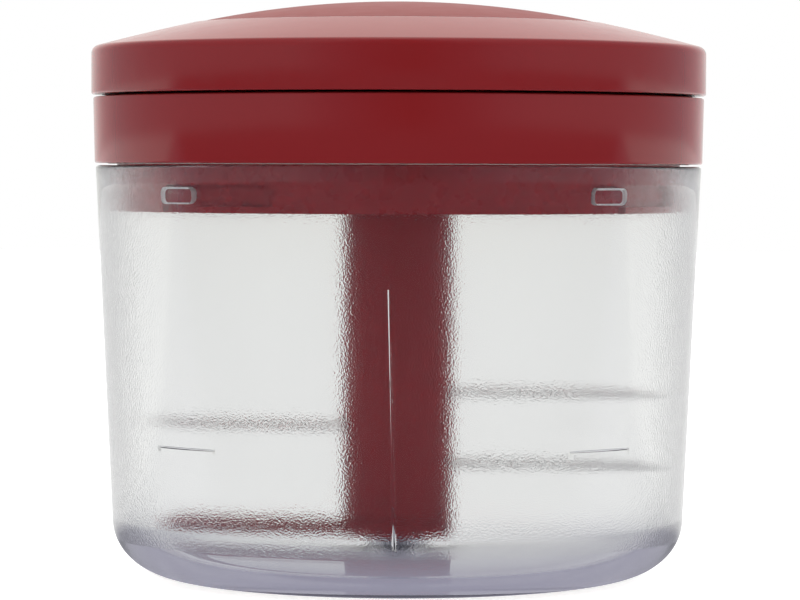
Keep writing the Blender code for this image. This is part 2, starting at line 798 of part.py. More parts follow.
def make_guide():
    half = guide_width / 2.0
    bore = guide_pin_r + fit_gap
    rim = guide_flange_r
    groove = guide_groove_r
    profile = [(bore, half), (rim - edge_round, half), (rim, half - edge_round)]
    profile += [(rim, guide_groove_half + edge_round), (groove, guide_groove_half), (groove, -guide_groove_half)]
    profile += [(rim, -guide_groove_half - edge_round), (rim, edge_round - half), (rim - edge_round, -half)]
    profile += [(bore, -half)]
    roller = lathe("roller", profile, steps_small)
    roller.rotation_euler = (0.0, math.pi / 2.0, 0.0)
    roller.location = (guide_x, guide_y, guide_z)
    bpy.context.view_layer.update()
    piece(roller, "guide_roller", pale, 0.4, origin=(guide_x, guide_y, guide_z))
    reach = half + fit_gap + guide_cheek
    pin = rod("guide_pin", guide_pin_r, -reach, reach, (0.0, 0.0), steps_screw)
    pin.rotation_euler = (0.0, math.pi / 2.0, 0.0)
    pin.location = (guide_x, guide_y, guide_z)
    bpy.context.view_layer.update()
    piece(pin, "roller_pin", steel, 0.3, 1.0, origin=(guide_x, guide_y, guide_z))
    inner = cord_r + eyelet_bore_gap
    outer = inner + eyelet_wall
    flange = outer + eyelet_flange
    flange_low = deck_z - eyelet_flange_thick
    profile = [(inner, deck_z), (flange, deck_z), (flange, flange_low), (outer, flange_low)]
    profile += [(outer, deck_under_z), (inner, deck_under_z)]
    eyelet = lathe("eyelet", profile, steps_small)
    eyelet.location = (guide_x, lead_y, 0.0)
    bpy.context.view_layer.update()
    piece(eyelet, "cord_eyelet", steel, 0.3, 1.0, origin=(guide_x, lead_y, deck_z))


def make_drum():
    pocket_out = drum_core_r - drum_core_wall
    pocket_top = core_top_z - drum_pocket_roof
    hub_top = spring_z
    profile = [(cup_r - cup_wall, cup_top_z), (cup_r, cup_top_z), (cup_r, core_top_z), (drum_core_r, core_top_z)]
    profile += [(drum_core_r, drum_flange_z), (drum_flange_r, drum_flange_z), (drum_flange_r, drum_z)]
    profile += [(pocket_out, drum_z), (pocket_out, pocket_top), (axle_hub_r, pocket_top), (axle_hub_r, drum_z)]
    profile += [(axle_bore_r, drum_z), (axle_bore_r, hub_top), (axle_hub_r, hub_top), (axle_hub_r, cup_floor_z)]
    profile += [(cup_r - cup_wall, cup_floor_z)]
    drum = lathe("drum", profile, steps_mid)
    places = around(drum_screw_count, 0.0, drum_screw_circle_r)
    for place in places:
        add(drum, rod("boss", drum_boss_r, drum_z, pocket_top + weld_depth, place, steps_screw))
    for place in places:
        bore_top = coupler_z + screw_head_h + screw_length + fit_gap
        cut(drum, rod("bore", screw_bore_r, drum_z - cut_overrun, bore_top, place, steps_screw))
    piece(drum, "cord_drum", pale, 0.4)
    hole = axle_hub_r + cord_clear
    lip = cup_r - cup_wall - fit_gap
    lip_in = lip - cup_wall
    top = cover_z + cover_thick
    lip_z = cover_z - cover_spigot
    profile = [(hole, top), (cup_r - edge_round, top), (cup_r, top - edge_round), (cup_r, cover_z)]
    profile += [(lip, cover_z), (lip, lip_z), (lip_in, lip_z), (lip_in, cover_z), (hole, cover_z)]
    piece(lathe("cover", profile, steps_mid), "drum_cover", pale, 0.4)
    piece(rod("axle", axle_r, drum_z, axle_top_z), "drum_axle", steel, 0.25, 1.0)
    profile = [(0.0, coupler_top_z), (coupler_flange_r, coupler_top_z), (coupler_flange_r, coupler_z)]
    profile += [(star_core_r, coupler_z), (star_core_r, star_z + edge_round)]
    profile += [(star_core_r - edge_round, star_z), (0.0, star_z)]
    coupler = lathe("coupler", profile, steps_mid)
    for i in range(star_fin_count):
        angle = star_first_deg + 360.0 * i / star_fin_count
        size = (star_r - star_core_r / 2.0, star_fin, star_length - edge_round)
        centre = (star_core_r / 2.0 + size[0] / 2.0, 0.0, coupler_z + weld_depth - size[2] / 2.0)
        add(coupler, block("fin", size, centre, edge_round, angle, 1))
    for place in places:
        low_z = coupler_z - cut_overrun
        cut(coupler, rod("hole", screw_bore_r, low_z, coupler_top_z + cut_overrun, place, steps_screw))
        sink_top = coupler_z + screw_head_h + fit_gap
        cut(coupler, rod("sink", screw_head_r + fit_gap, low_z, sink_top, place, steps_screw))
    piece(coupler, "drive_coupler", pale, 0.4)
    make_screws("coupler_screw", places, coupler_z + fit_gap, screw_length - fit_gap)
    lip_top = bush_z + bush_lip
    inner = coupler_flange_r + fit_gap
    lip_r = inner - bush_lip_width
    bush_top = base_top_z + bush_tube_height
    profile = [(inner, bush_top), (bush_r, bush_top), (bush_r, bush_z), (lip_r, bush_z), (lip_r, lip_top)]
    profile += [(inner, lip_top)]
    piece(lathe("bush", profile, steps_mid), "bearing_bush", pale, 0.5)


def make_spring():
    """Spiral strip between the fixed arbor and the cup, all of its turns at one even pitch."""
    inner = axle_hub_r + fit_gap + spring_thick
    outer = cup_r - cup_wall - fit_gap - spring_thick
    count = spring_turns * steps_spring_turn
    half = spring_thick / 2.0
    bm = bmesh.new()
    rows = []
    points = []
    for i in range(count + 1):
        angle = math.tau * i / steps_spring_turn
        radius = inner + (outer - inner) * i / count
        points.append((radius * math.cos(angle), radius * math.sin(angle)))
        row = []
        for reach, height in ((radius - half, spring_z), (radius + half, spring_z),
                              (radius + half, spring_z + spring_width), (radius - half, spring_z + spring_width)):
            row.append(bm.verts.new((reach * math.cos(angle), reach * math.sin(angle), height)))
        rows.append(row)
    for first, second in zip(rows[:-1], rows[1:]):
        for i in range(4):
            j = (i + 1) % 4
            bm.faces.new((first[i], first[j], second[j], second[i]))
    bm.faces.new(rows[0])
    bm.faces.new(rows[-1])
    piece(from_bmesh("spring", bm), "recoil_spring", steel, 0.3, 1.0)
    print("recoil spring, least gap to itself in mm:",
          round(least_gap(points, half, steps_spring_turn // 2) * 1000.0, 3))


def make_rotor():
    profile = [(0.0, socket_z), (shaft_bore_r, socket_z), (shaft_bore_r, shaft_top_z)]
    profile += [(shaft_r - edge_round, shaft_top_z), (shaft_r, shaft_top_z - edge_round), (shaft_r, shaft_z)]
    profile += [(shaft_bore_r, shaft_z), (shaft_bore_r, seat_z), (seat_r, seat_z), (seat_r, seat_top_z)]
    profile += [(0.0, seat_top_z)]
    shaft = lathe("shaft", profile, steps_mid)
    for i in range(star_fin_count):
        angle = 360.0 * i / star_fin_count
        length = shaft_bore_r + weld_depth - socket_rib_r
        height = shaft_top_z - edge_round - socket_z + weld_depth
        centre = (socket_rib_r + length / 2.0, 0.0, socket_z - weld_depth + height / 2.0)
        add(shaft, block("rib", (length, star_fin, height), centre, 0.0, angle))
    for height, turn in zip(blade_heights, blade_turns_deg):
        length = shaft_wall * 2.0
        size = (length, blade_root_width + fit_gap * 2.0, blade_thick + fit_gap * 2.0)
        cut(shaft, block("slot", size, (shaft_bore_r + shaft_wall / 2.0, 0.0, height), 0.0, turn))
    piece(shaft, "blade_shaft", red, 0.3)
    profile = [(0.0, sleeve_top_z), (sleeve_r, sleeve_top_z), (sleeve_r, shaft_z), (pin_bore_r, shaft_z)]
    profile += [(pin_bore_r, sleeve_cap_z), (0.0, sleeve_cap_z)]
    piece(lathe("sleeve", profile, steps_small), "pivot_sleeve", pale, 0.4)
    make_paddle()
    for name, height, turn in zip(("blade_upper", "blade_middle", "blade_lower"), blade_heights, blade_turns_deg):
        make_blade(name, height, turn)


def make_paddle():
    hole = pin_bore_r + fit_gap
    spigot = shaft_bore_r - fit_gap
    spigot_in = spigot - foot_spigot_wall
    top = foot_top_z + foot_spigot
    profile = [(spigot_in, top), (spigot, top), (spigot, foot_top_z), (shaft_r, foot_top_z)]
    profile += [(shaft_r, foot_z + edge_round), (shaft_r - edge_round, foot_z), (hole, foot_z)]
    profile += [(hole, foot_top_z), (spigot_in, foot_top_z)]
    paddle = lathe("paddle", profile, steps_mid)
    half = paddle_width / 2.0
    start_x = (shaft_r + hole) / 2.0
    outline = [(start_x, half), (start_x, -half)]
    outline += arc(paddle_reach - half, 0.0, half, half, -90.0, 90.0, steps_paddle)
    arm = plate("arm", outline, foot_top_z - paddle_drop - paddle_thick, paddle_thick)
    arm.rotation_euler = (0.0, 0.0, math.radians(paddle_turn_deg))
    add(paddle, arm)
    piece(paddle, "foot_paddle", red, 0.35)


def make_blade(name, height, turn_deg):
    """A swept blade: sections along its length, thick back, ground front, thin edge."""
    root = blade_eye_out_r - weld_depth
    low = height - blade_thick / 2.0
    edge_low = height - blade_edge_thick / 2.0
    rows = []
    bm = bmesh.new()
    turn = math.radians(turn_deg)
    for i in range(steps_blade + 1):
        share = i / steps_blade
        x = root + (blade_reach - root) * share
        sweep = blade_sweep * share * share
        open_share = min(1.0, max(0.0, (x - shaft_r) / (blade_width * blade_opening_share)))
        width = blade_root_width + (blade_width - blade_root_width) * math.sin(open_share * math.pi / 2.0)
        if share > blade_tip_start_share:
            tip_share = (share - blade_tip_start_share) / (1.0 - blade_tip_start_share)
            width = blade_width * (1.0 - blade_tip_narrow_share * tip_share * tip_share)
        back = -blade_root_width / 2.0 - sweep
        if share > blade_tip_back_start_share:
            back += blade_width * blade_tip_back_share * share
        front = back + width
        grind = min(blade_grind, width * blade_grind_limit_share) * open_share
        thinning = min(1.0, open_share / blade_edge_opening_share)
        edge_half = (blade_thick + (blade_edge_thick - blade_thick) * thinning) / 2.0
        section = ((back, low), (front - grind, low), (front, height - edge_half),
                   (front, height + edge_half), (front - grind, low + blade_thick), (back, low + blade_thick))
        row = []
        for y, z in section:
            row.append(bm.verts.new((x * math.cos(turn) - y * math.sin(turn),
                                     x * math.sin(turn) + y * math.cos(turn), z)))
        rows.append(row)
    for first, second in zip(rows[:-1], rows[1:]):
        for i in range(6):
            j = (i + 1) % 6
            bm.faces.new((first[i], first[j], second[j], second[i]))
    bm.faces.new(rows[0])
    bm.faces.new(rows[-1])
    bmesh.ops.remove_doubles(bm, verts=bm.verts[:], dist=merge_distance)
    blade = from_bmesh(name, bm)
    high = low + blade_thick
    profile = [(blade_eye_r, high), (blade_eye_out_r, high), (blade_eye_out_r, low), (blade_eye_r, low)]
    eye = lathe("eye", profile, steps_small)
    add(eye, blade)
    piece(eye, name, steel, 0.2, 1.0)


def main():
    clear_scene()
    make_bowl()
    make_pin()
    make_seal()
    make_housing()
    make_base()
    places = around(base_screw_count, base_screw_first_deg, base_screw_circle_r)
    make_screws("base_screw", places, base_bottom_z + fit_gap, screw_length - fit_gap)
    make_ring()
    knot = make_knot()
    print("cord knot, least gap to itself in mm:", round(least_gap(knot, cord_r, 6) * 1000.0, 3))
    make_cord()
    make_guide()
    make_drum()
    make_spring()
    make_rotor()
    total = 0
    for item in parts.objects:
        count = sum(len(face.vertices) - 2 for face in item.data.polygons)
        total += count
        print(item.name, count)
    print("triangles in all:", total)


main()
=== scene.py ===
import math

import bmesh
import bpy
from mathutils import Matrix, Vector


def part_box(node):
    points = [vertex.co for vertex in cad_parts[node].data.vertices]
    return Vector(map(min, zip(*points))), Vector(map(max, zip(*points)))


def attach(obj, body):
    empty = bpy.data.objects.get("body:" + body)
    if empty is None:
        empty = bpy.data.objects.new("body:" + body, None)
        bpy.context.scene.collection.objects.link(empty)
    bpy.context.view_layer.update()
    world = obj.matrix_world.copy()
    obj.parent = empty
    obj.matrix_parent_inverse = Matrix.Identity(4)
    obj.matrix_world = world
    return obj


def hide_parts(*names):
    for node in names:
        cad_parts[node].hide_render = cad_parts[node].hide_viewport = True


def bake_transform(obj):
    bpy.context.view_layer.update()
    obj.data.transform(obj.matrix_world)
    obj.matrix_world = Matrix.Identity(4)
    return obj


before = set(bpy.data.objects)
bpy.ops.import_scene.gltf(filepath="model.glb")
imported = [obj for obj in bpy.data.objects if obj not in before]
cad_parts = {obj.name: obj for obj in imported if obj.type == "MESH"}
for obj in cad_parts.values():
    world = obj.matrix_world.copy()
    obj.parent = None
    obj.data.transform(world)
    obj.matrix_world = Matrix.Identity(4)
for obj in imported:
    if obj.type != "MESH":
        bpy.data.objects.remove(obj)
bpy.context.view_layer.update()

# Driving sizes in metres, as in the part's own source; the shaft, blades, rib, marks and the paddle's drop
# are fitted a little closer to the photograph
fit_gap = 0.0003
edge_round = 0.0004
bowl_wall = 0.0036
bowl_floor = 0.0035
bowl_foot_r = 0.0601
bowl_corner_w = 0.0144
bowl_corner_h = 0.0120
bowl_inner_corner_w = 0.0114
bowl_inner_corner_h = 0.0092
bowl_rim_round = 0.0007
frost_foot_share = 0.6
boss_r = 0.0062
pin_r = 0.0030
pin_root_z = 0.0018
lug_count = 4
lug_first_deg = -46.3
lug_width = 0.0086
lug_height = 0.0034
lug_round = 0.0013
lug_tip_round = 0.0006
lug_below_joint = 0.0064
mark_height = 0.0294
mark_half_deg = 8.0
mark_r = 0.00024
rib_width = 0.0008
rib_top_width = 0.0004
rib_depth = 0.00022
rib_top_depth = 0.00011
rib_foot_z = 0.0070
rib_top_z = 0.0620
rib_foot_shift = -0.0005
rib_top_shift = -0.0019
weld_depth = 0.0006
lid_joint_gap = 0.00045
lid_wall = 0.0023
shell = 0.0022
lid_flare = 0.0003
deck_step = 0.00025
deck_step_in = 0.0021
tier_gap = 0.00055
hub_r = 0.0428
hub_draft = 0.0001
hub_gap = 0.0004
dome_sphere_r = 0.2010
ring_side_height = 0.00856
ring_edge_r = 0.0017
ring_slope_deg = 13.7
ring_bulge = 0.00012
slot_depth = 0.0015
slot_play = 0.0004
lid_lock_deg = 18.0
collar_wall = 0.0029
collar_gap = 0.00045
base_floor = 0.0022
cord_r = 0.0009
eyelet_bore_gap = 0.0006
eyelet_wall = 0.0008
eyelet_flange_thick = 0.0004
tray_hole_gap = 0.0006
tray_thick = 0.0022
pillar_r = 0.0032
pillar_bore_depth = 0.0066
ring_screw_count = 4
ring_screw_first_deg = 20.0
base_screw_count = 4
base_screw_first_deg = 20.0
base_screw_inset = 0.0062
screw_bore_r = 0.0014
screw_head_r = 0.0023
screw_head_h = 0.0012
flange_thick = 0.0020
collar_depth = 0.00985
well_gap = 0.0009
bush_tube_wall = 0.0018
axle_r = 0.0025
axle_wall = 0.0022
guide_cheek = 0.0025
guide_cheek_half = 0.0035
guide_cheek_below = 0.0027
cheek_round = 0.0003
shaft_r = 0.0116
shaft_wall = 0.0024
shaft_seat_depth = 0.0063
socket_rib_r = 0.0062
star_fin_count = 3
star_fin = 0.0026
star_end_gap = 0.0015
foot_height = 0.0037
foot_spigot_wall = 0.0029
paddle_thick = 0.0023
paddle_drop = 0.0011
paddle_width = 0.0120
paddle_turn_deg = 166.0
paddle_gap = 0.0045
blade_gap = 0.0028
blade_thick = 0.0008
blade_edge_thick = 0.0002
blade_root_width = 0.0096
blade_width = 0.0150
blade_grind = 0.0045
blade_eye_wall = 0.0027
blade_sweep = 0.0075

# Sizes and places read from the frame
bowl_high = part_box("bowl")[1]
bowl_height = bowl_high[2]
bowl_rim_r = bowl_high[0]
house_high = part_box("lid_housing")[1]
lid_bottom_z = bowl_height + lid_joint_gap
lid_top_r = house_high[0]
lid_bottom_r = lid_top_r - lid_flare
dome_top_z = house_high[2]
ring_low, ring_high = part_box("ring_top")
ring_bottom_z = ring_low[2]
ring_r = ring_high[0]
ring_inner_r = hub_r + hub_gap
deck_edge_z = ring_bottom_z - tier_gap
deck_z = deck_edge_z + deck_step
base_low, base_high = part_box("lid_base")
base_bottom_z = base_low[2]
lead_low, lead_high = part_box("cord_lead")

# Room for cuts to run past what they cut
cut_over = 0.001

# Facets round the axis
steps_fine = 192
steps_shell = 256
steps_shaft = 96


def mesh_object(name, bm):
    mesh = bpy.data.meshes.new(name)
    bm.to_mesh(mesh)
    bm.free()
    item = bpy.data.objects.new(name, mesh)
    bpy.context.scene.collection.objects.link(item)
    return item


def arc(centre_r, centre_z, radius_r, radius_z, start_deg, end_deg, count):
    points = []
    for i in range(count + 1):
        angle = math.radians(start_deg + (end_deg - start_deg) * i / count)
        points.append((centre_r + radius_r * math.cos(angle), centre_z + radius_z * math.sin(angle)))
    return points


def turned(name, profile, steps=steps_fine):
    """A closed surface of revolution; a profile that starts and ends on the axis closes there."""
    bm = bmesh.new()
    rings = []
    for radius, height in profile:
        if radius < 0.000001:
            rings.append([bm.verts.new((0.0, 0.0, height))])
            continue
        ring = []
        for i in range(steps):
            angle = math.tau * i / steps
            ring.append(bm.verts.new((radius * math.cos(angle), radius * math.sin(angle), height)))
        rings.append(ring)
    pairs = list(zip(rings[:-1], rings[1:]))
    if len(rings[0]) > 1:
        pairs.append((rings[-1], rings[0]))
    for first, second in pairs:
        for i in range(steps):
            j = (i + 1) % steps
            corners = [first[i % len(first)], second[i % len(second)]]
            corners += [second[j % len(second)], first[j % len(first)]]
            unique = []
            for corner in corners:
                if corner not in unique:
                    unique.append(corner)
            bm.faces.new(unique)
    bmesh.ops.recalc_face_normals(bm, faces=bm.faces[:])
    return mesh_object(name, bm)


def block(name, size, centre, bevel=0.0, turn_deg=0.0, segments=3):
    bm = bmesh.new()
    bmesh.ops.create_cube(bm, size=1.0)
    bmesh.ops.scale(bm, vec=size, verts=bm.verts[:])
    if bevel > 0.0:
        bmesh.ops.bevel(bm, geom=bm.edges[:], offset=bevel, segments=segments, affect="EDGES", profile=0.5)
    place = Matrix.Rotation(math.radians(turn_deg), 4, "Z") @ Matrix.Translation(centre)
    bmesh.ops.transform(bm, matrix=place, verts=bm.verts[:])
    bmesh.ops.recalc_face_normals(bm, faces=bm.faces[:])
    return mesh_object(name, bm)


def tube(name, points, radius, sides=12):
    """A closed round tube along a smooth list of points."""
    places = [Vector(point) for point in points]
    bm = bmesh.new()
    rings = []
    side = None
    for i, place in enumerate(places):
        ahead = places[min(i + 1, len(places) - 1)] - places[max(i - 1, 0)]
        ahead.normalize()
        if side is None:
            side = ahead.orthogonal().normalized()
        side = (side - ahead * side.dot(ahead)).normalized()
        other = ahead.cross(side)
        ring = []
        for j in range(sides):
            angle = math.tau * j / sides
            ring.append(bm.verts.new(place + (side * math.cos(angle) + other * math.sin(angle)) * radius))
        rings.append(ring)
    for first, second in zip(rings[:-1], rings[1:]):
        for j in range(sides):
            k = (j + 1) % sides
            bm.faces.new((first[j], second[j], second[k], first[k]))
    bm.faces.new(rings[0])
    bm.faces.new(rings[-1])
    bmesh.ops.recalc_face_normals(bm, faces=bm.faces[:])
    return mesh_object(name, bm)


def combine(item, other, operation):
    boolean = item.modifiers.new("shape", "BOOLEAN")
    boolean.operation = operation
    boolean.solver = "EXACT"
    boolean.object = other
    bpy.context.view_layer.update()
    shown = item.evaluated_get(bpy.context.evaluated_depsgraph_get())
    mesh = bpy.data.meshes.new_from_object(shown)
    old = item.data
    item.modifiers.clear()
    item.data = mesh
    bpy.data.meshes.remove(old)
    bpy.data.objects.remove(other, do_unlink=True)


def smooth(item, sharp_deg=30.0):
    item.data.polygons.foreach_set("use_smooth", [True] * len(item.data.polygons))
    item.data.set_sharp_from_angle(angle=math.radians(sharp_deg))


def stands_for(item, body, nodes, slot, *materials):
    """Finish a piece: its materials, the body that it rides on and the nodes it replaces."""
    item.data.materials.clear()
    for material in materials:
        item.data.materials.append(material)
    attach(item, body)
    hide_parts(*nodes)


# Node helpers for the materials


def new_material(name):
    material = bpy.data.materials.new(name)
    material.use_nodes = True
    nodes = material.node_tree.nodes
    return material, nodes, material.node_tree.links, nodes["Principled BSDF"]


def noise(nodes, links, scale, detail=3.0, stretch=(1.0, 1.0, 1.0)):
    where = nodes.new("ShaderNodeTexCoord")
    mapping = nodes.new("ShaderNodeMapping")
    mapping.inputs["Scale"].default_value = stretch
    texture = nodes.new("ShaderNodeTexNoise")
    texture.inputs["Scale"].default_value = scale
    texture.inputs["Detail"].default_value = detail
    links.new(where.outputs["Object"], mapping.inputs["Vector"])
    links.new(mapping.outputs["Vector"], texture.inputs["Vector"])
    return texture.outputs["Fac"]


def spread(nodes, links, source, low, high):
    fit = nodes.new("ShaderNodeMapRange")
    fit.inputs["From Min"].default_value = 0.3
    fit.inputs["From Max"].default_value = 0.7
    fit.inputs["To Min"].default_value = low
    fit.inputs["To Max"].default_value = high
    links.new(source, fit.inputs["Value"])
    return fit.outputs["Result"]


def colour_mix(nodes, links, factor, first, second):
    mix = nodes.new("ShaderNodeMix")
    mix.data_type = "RGBA"
    mix.inputs["A"].default_value = (*first, 1.0)
    mix.inputs["B"].default_value = (*second, 1.0)
    links.new(factor, mix.inputs["Factor"])
    return mix.outputs["Result"]


def bump(nodes, links, shader, height, strength, distance, before=None):
    relief = nodes.new("ShaderNodeBump")
    relief.inputs["Strength"].default_value = strength
    relief.inputs["Distance"].default_value = distance
    links.new(height, relief.inputs["Height"])
    if before is not None:
        links.new(before, relief.inputs["Normal"])
    links.new(relief.outputs["Normal"], shader.inputs["Normal"])
    return relief.outputs["Normal"]


def moulded_plastic(name, colour, deeper, roughness, wave=0.00002, grain=0.0, pale=None):
    """Injection-moulded plastic: slight waviness, faint tone drift, fine surface wear."""
    material, nodes, links, shader = new_material(name)
    drift = noise(nodes, links, 18.0, 2.0)
    links.new(colour_mix(nodes, links, drift, colour, deeper), shader.inputs["Base Color"])
    # Optionally a painted sheen: the colour turns paler where the surface is seen at a grazing angle.
    if pale is not None:
        painted_grazing_sheen(nodes, links, shader, pale)
    wear = noise(nodes, links, 260.0, 5.0)
    links.new(spread(nodes, links, wear, roughness * 0.8, roughness * 1.25), shader.inputs["Roughness"])
    normal = bump(nodes, links, shader, noise(nodes, links, 55.0, 1.0), 0.35, wave)
    if grain > 0.0:
        bump(nodes, links, shader, noise(nodes, links, 2600.0, 2.0), 0.6, grain, normal)
    shader.inputs["IOR"].default_value = 1.5
    return material


def painted_grazing_sheen(nodes, links, shader, pale):
    """Painted sheen: plastic seen along its surface is painted paler, in place of the light that glances off
    it.
    """
    facing = nodes.new("ShaderNodeLayerWeight")
    facing.inputs["Blend"].default_value = 0.5
    fit = nodes.new("ShaderNodeMapRange")
    fit.inputs["From Min"].default_value = 0.62
    fit.inputs["From Max"].default_value = 0.92
    links.new(facing.outputs["Facing"], fit.inputs["Value"])
    mix = nodes.new("ShaderNodeMix")
    mix.data_type = "RGBA"
    links.new(shader.inputs["Base Color"].links[0].from_socket, mix.inputs["A"])
    mix.inputs["B"].default_value = (*pale, 1.0)
    links.new(fit.outputs["Result"], mix.inputs["Factor"])
    links.new(mix.outputs["Result"], shader.inputs["Base Color"])


def hub_plastic(name, colour, deeper, pale):
    """The lid housing: glossy lower wall, and a dome with a finer satin texture."""
    material, nodes, links, shader = new_material(name)
    drift = noise(nodes, links, 18.0, 2.0)
    links.new(colour_mix(nodes, links, drift, colour, deeper), shader.inputs["Base Color"])
    # Painted sheen: the colour turns paler where the housing is seen at a grazing angle.
    painted_grazing_sheen(nodes, links, shader, pale)
    where = nodes.new("ShaderNodeTexCoord")
    apart = nodes.new("ShaderNodeSeparateXYZ")
    links.new(where.outputs["Object"], apart.inputs["Vector"])
    level = nodes.new("ShaderNodeMapRange")
    level.inputs["From Min"].default_value = dome_edge_z - edge_round
    level.inputs["From Max"].default_value = dome_edge_z
    level.inputs["To Min"].default_value = gloss_roughness
    level.inputs["To Max"].default_value = satin_roughness
    links.new(apart.outputs["Z"], level.inputs["Value"])
    wear = spread(nodes, links, noise(nodes, links, 260.0, 5.0), 0.95, 1.05)
    product = nodes.new("ShaderNodeMath")
    product.operation = "MULTIPLY"
    links.new(level.outputs["Result"], product.inputs[0])
    links.new(wear, product.inputs[1])
    links.new(product.outputs["Value"], shader.inputs["Roughness"])
    bump(nodes, links, shader, noise(nodes, links, 40.0, 1.0), 0.2, 0.00001)
    shader.inputs["IOR"].default_value = 1.5
    return material


def clear_plastic(name, tint, roughness, grain, clear=1.0):
    """Thick clear plastic; the inner wall has a fine frosted grain."""
    material, nodes, links, shader = new_material(name)
    shader.inputs["Base Color"].default_value = (*tint, 1.0)
    shader.inputs["IOR"].default_value = 1.57
    shader.inputs["Transmission Weight"].default_value = clear
    wear = noise(nodes, links, 150.0, 4.0)
    links.new(spread(nodes, links, wear, roughness * 0.85, roughness * 1.15), shader.inputs["Roughness"])
    if grain > 0.0:
        bump(nodes, links, shader, noise(nodes, links, 2700.0, 1.0), 1.0, grain)
    return material


def brushed_steel(name, colour, roughness, stretch, metallic=1.0):
    material, nodes, links, shader = new_material(name)
    lines = noise(nodes, links, 400.0, 4.0, stretch)
    darker = tuple(channel * 0.85 for channel in colour)
    links.new(colour_mix(nodes, links, lines, colour, darker), shader.inputs["Base Color"])
    links.new(spread(nodes, links, lines, roughness * 0.7, roughness * 1.4), shader.inputs["Roughness"])
    shader.inputs["Metallic"].default_value = metallic
    bump(nodes, links, shader, lines, 0.25, 0.00001)
    return material


def braided(name, colour, darker):
    """Braided cord: two crossed sets of slanting waves round the cord."""
    material, nodes, links, shader = new_material(name)
    where = nodes.new("ShaderNodeTexCoord")
    sets = []
    for lean in (1.0, -1.0):
        mapping = nodes.new("ShaderNodeMapping")
        mapping.inputs["Rotation"].default_value = (0.0, math.radians(38.0) * lean, math.radians(38.0) * lean)
        wave = nodes.new("ShaderNodeTexWave")
        wave.bands_direction = "Z"
        wave.inputs["Scale"].default_value = 420.0
        wave.inputs["Distortion"].default_value = 1.2
        links.new(where.outputs["Object"], mapping.inputs["Vector"])
        links.new(mapping.outputs["Vector"], wave.inputs["Vector"])
        sets.append(wave.outputs["Fac"])
    higher = nodes.new("ShaderNodeMath")
    higher.operation = "MAXIMUM"
    links.new(sets[0], higher.inputs[0])
    links.new(sets[1], higher.inputs[1])
    # Painted shade: the colour darkens with the weave's height, down into the grooves between the strands.
    links.new(colour_mix(nodes, links, higher.outputs["Value"], darker, colour), shader.inputs["Base Color"])
    shader.inputs["Roughness"].default_value = 0.8
    shader.inputs["Sheen Weight"].default_value = 0.3
    bump(nodes, links, shader, higher.outputs["Value"], 0.7, 0.0001)
    return material


gloss_roughness = 0.13
satin_roughness = 0.40
dome_edge_z = dome_top_z - (dome_sphere_r - math.sqrt(dome_sphere_r ** 2 - hub_r ** 2))
red = (0.160, 0.0085, 0.0100)
red_deep = (0.150, 0.0078, 0.0092)
# The pale red is a painted sheen, mixed in where the red plastic is seen at a grazing angle.
red_painted_sheen = (0.280, 0.0180, 0.0140)
# The pieces inside the bowl are painted a red almost twice as bright as the lid's red: painted light, in
# place of the light that the lid and the clear wall keep from them.
inner_red_painted_light = (0.290, 0.0100, 0.0135)
inner_deep_painted_light = (0.270, 0.0092, 0.0125)
red_gloss = moulded_plastic("red_gloss", red, red_deep, gloss_roughness, pale=red_painted_sheen)
red_housing = hub_plastic("red_housing", red, red_deep, red_painted_sheen)
red_inner_painted_light = moulded_plastic("red_inner_painted_light", inner_red_painted_light, inner_deep_painted_light, 0.28)
red_satin_painted_light = moulded_plastic("red_satin_painted_light", inner_red_painted_light, inner_deep_painted_light, 0.35, grain=0.00001)
pale_plastic = moulded_plastic("pale_plastic", (0.72, 0.71, 0.68), (0.66, 0.65, 0.62), 0.4, grain=0.00001)
seal_rubber = moulded_plastic("seal_rubber", (0.62, 0.62, 0.60), (0.56, 0.56, 0.54), 0.6, grain=0.00002)
clear_outer = clear_plastic("clear_outer", (0.952, 0.957, 0.960), 0.02, 0.0)
clear_frosted = clear_plastic("clear_frosted", (0.938, 0.943, 0.926), 0.10, 0.000034)
# A half-white, part-clear finish for the lugs' rounded sides: a painted highlight for the light that they
# catch.
lug_edge_painted_highlight = clear_plastic("lug_edge_painted_highlight", (0.95, 0.95, 0.98), 0.35, 0.0, 0.35)
blade_metal = brushed_steel("blade_metal", (0.93, 0.93, 0.93), 0.42, (0.15, 1.0, 1.0), 0.3)
bright_steel = brushed_steel("bright_steel", (0.55, 0.55, 0.56), 0.25, (1.0, 1.0, 0.1))
cord_braid = braided("cord_braid", (0.70, 0.68, 0.64), (0.34, 0.33, 0.31))


# The bowl, with a clear outer skin and a frosted inner wall


def wall_radius(z):
    rise = (z - bowl_corner_h) / (bowl_height - bowl_corner_h)
    return bowl_foot_r + (bowl_rim_r - bowl_foot_r) * rise


def inner_radius(z):
    return wall_radius(z) - bowl_wall


collar_r = inner_radius(base_bottom_z) - collar_gap
paddle_reach = inner_radius(bowl_floor + bowl_inner_corner_h) - paddle_gap
blade_reach = inner_radius(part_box("blade_lower")[0][2]) - blade_gap
lug_tip_r = collar_r - slot_depth + slot_play
lug_z = lid_bottom_z - lug_below_joint
frost_foot_z = bowl_floor + bowl_inner_corner_h * frost_foot_share


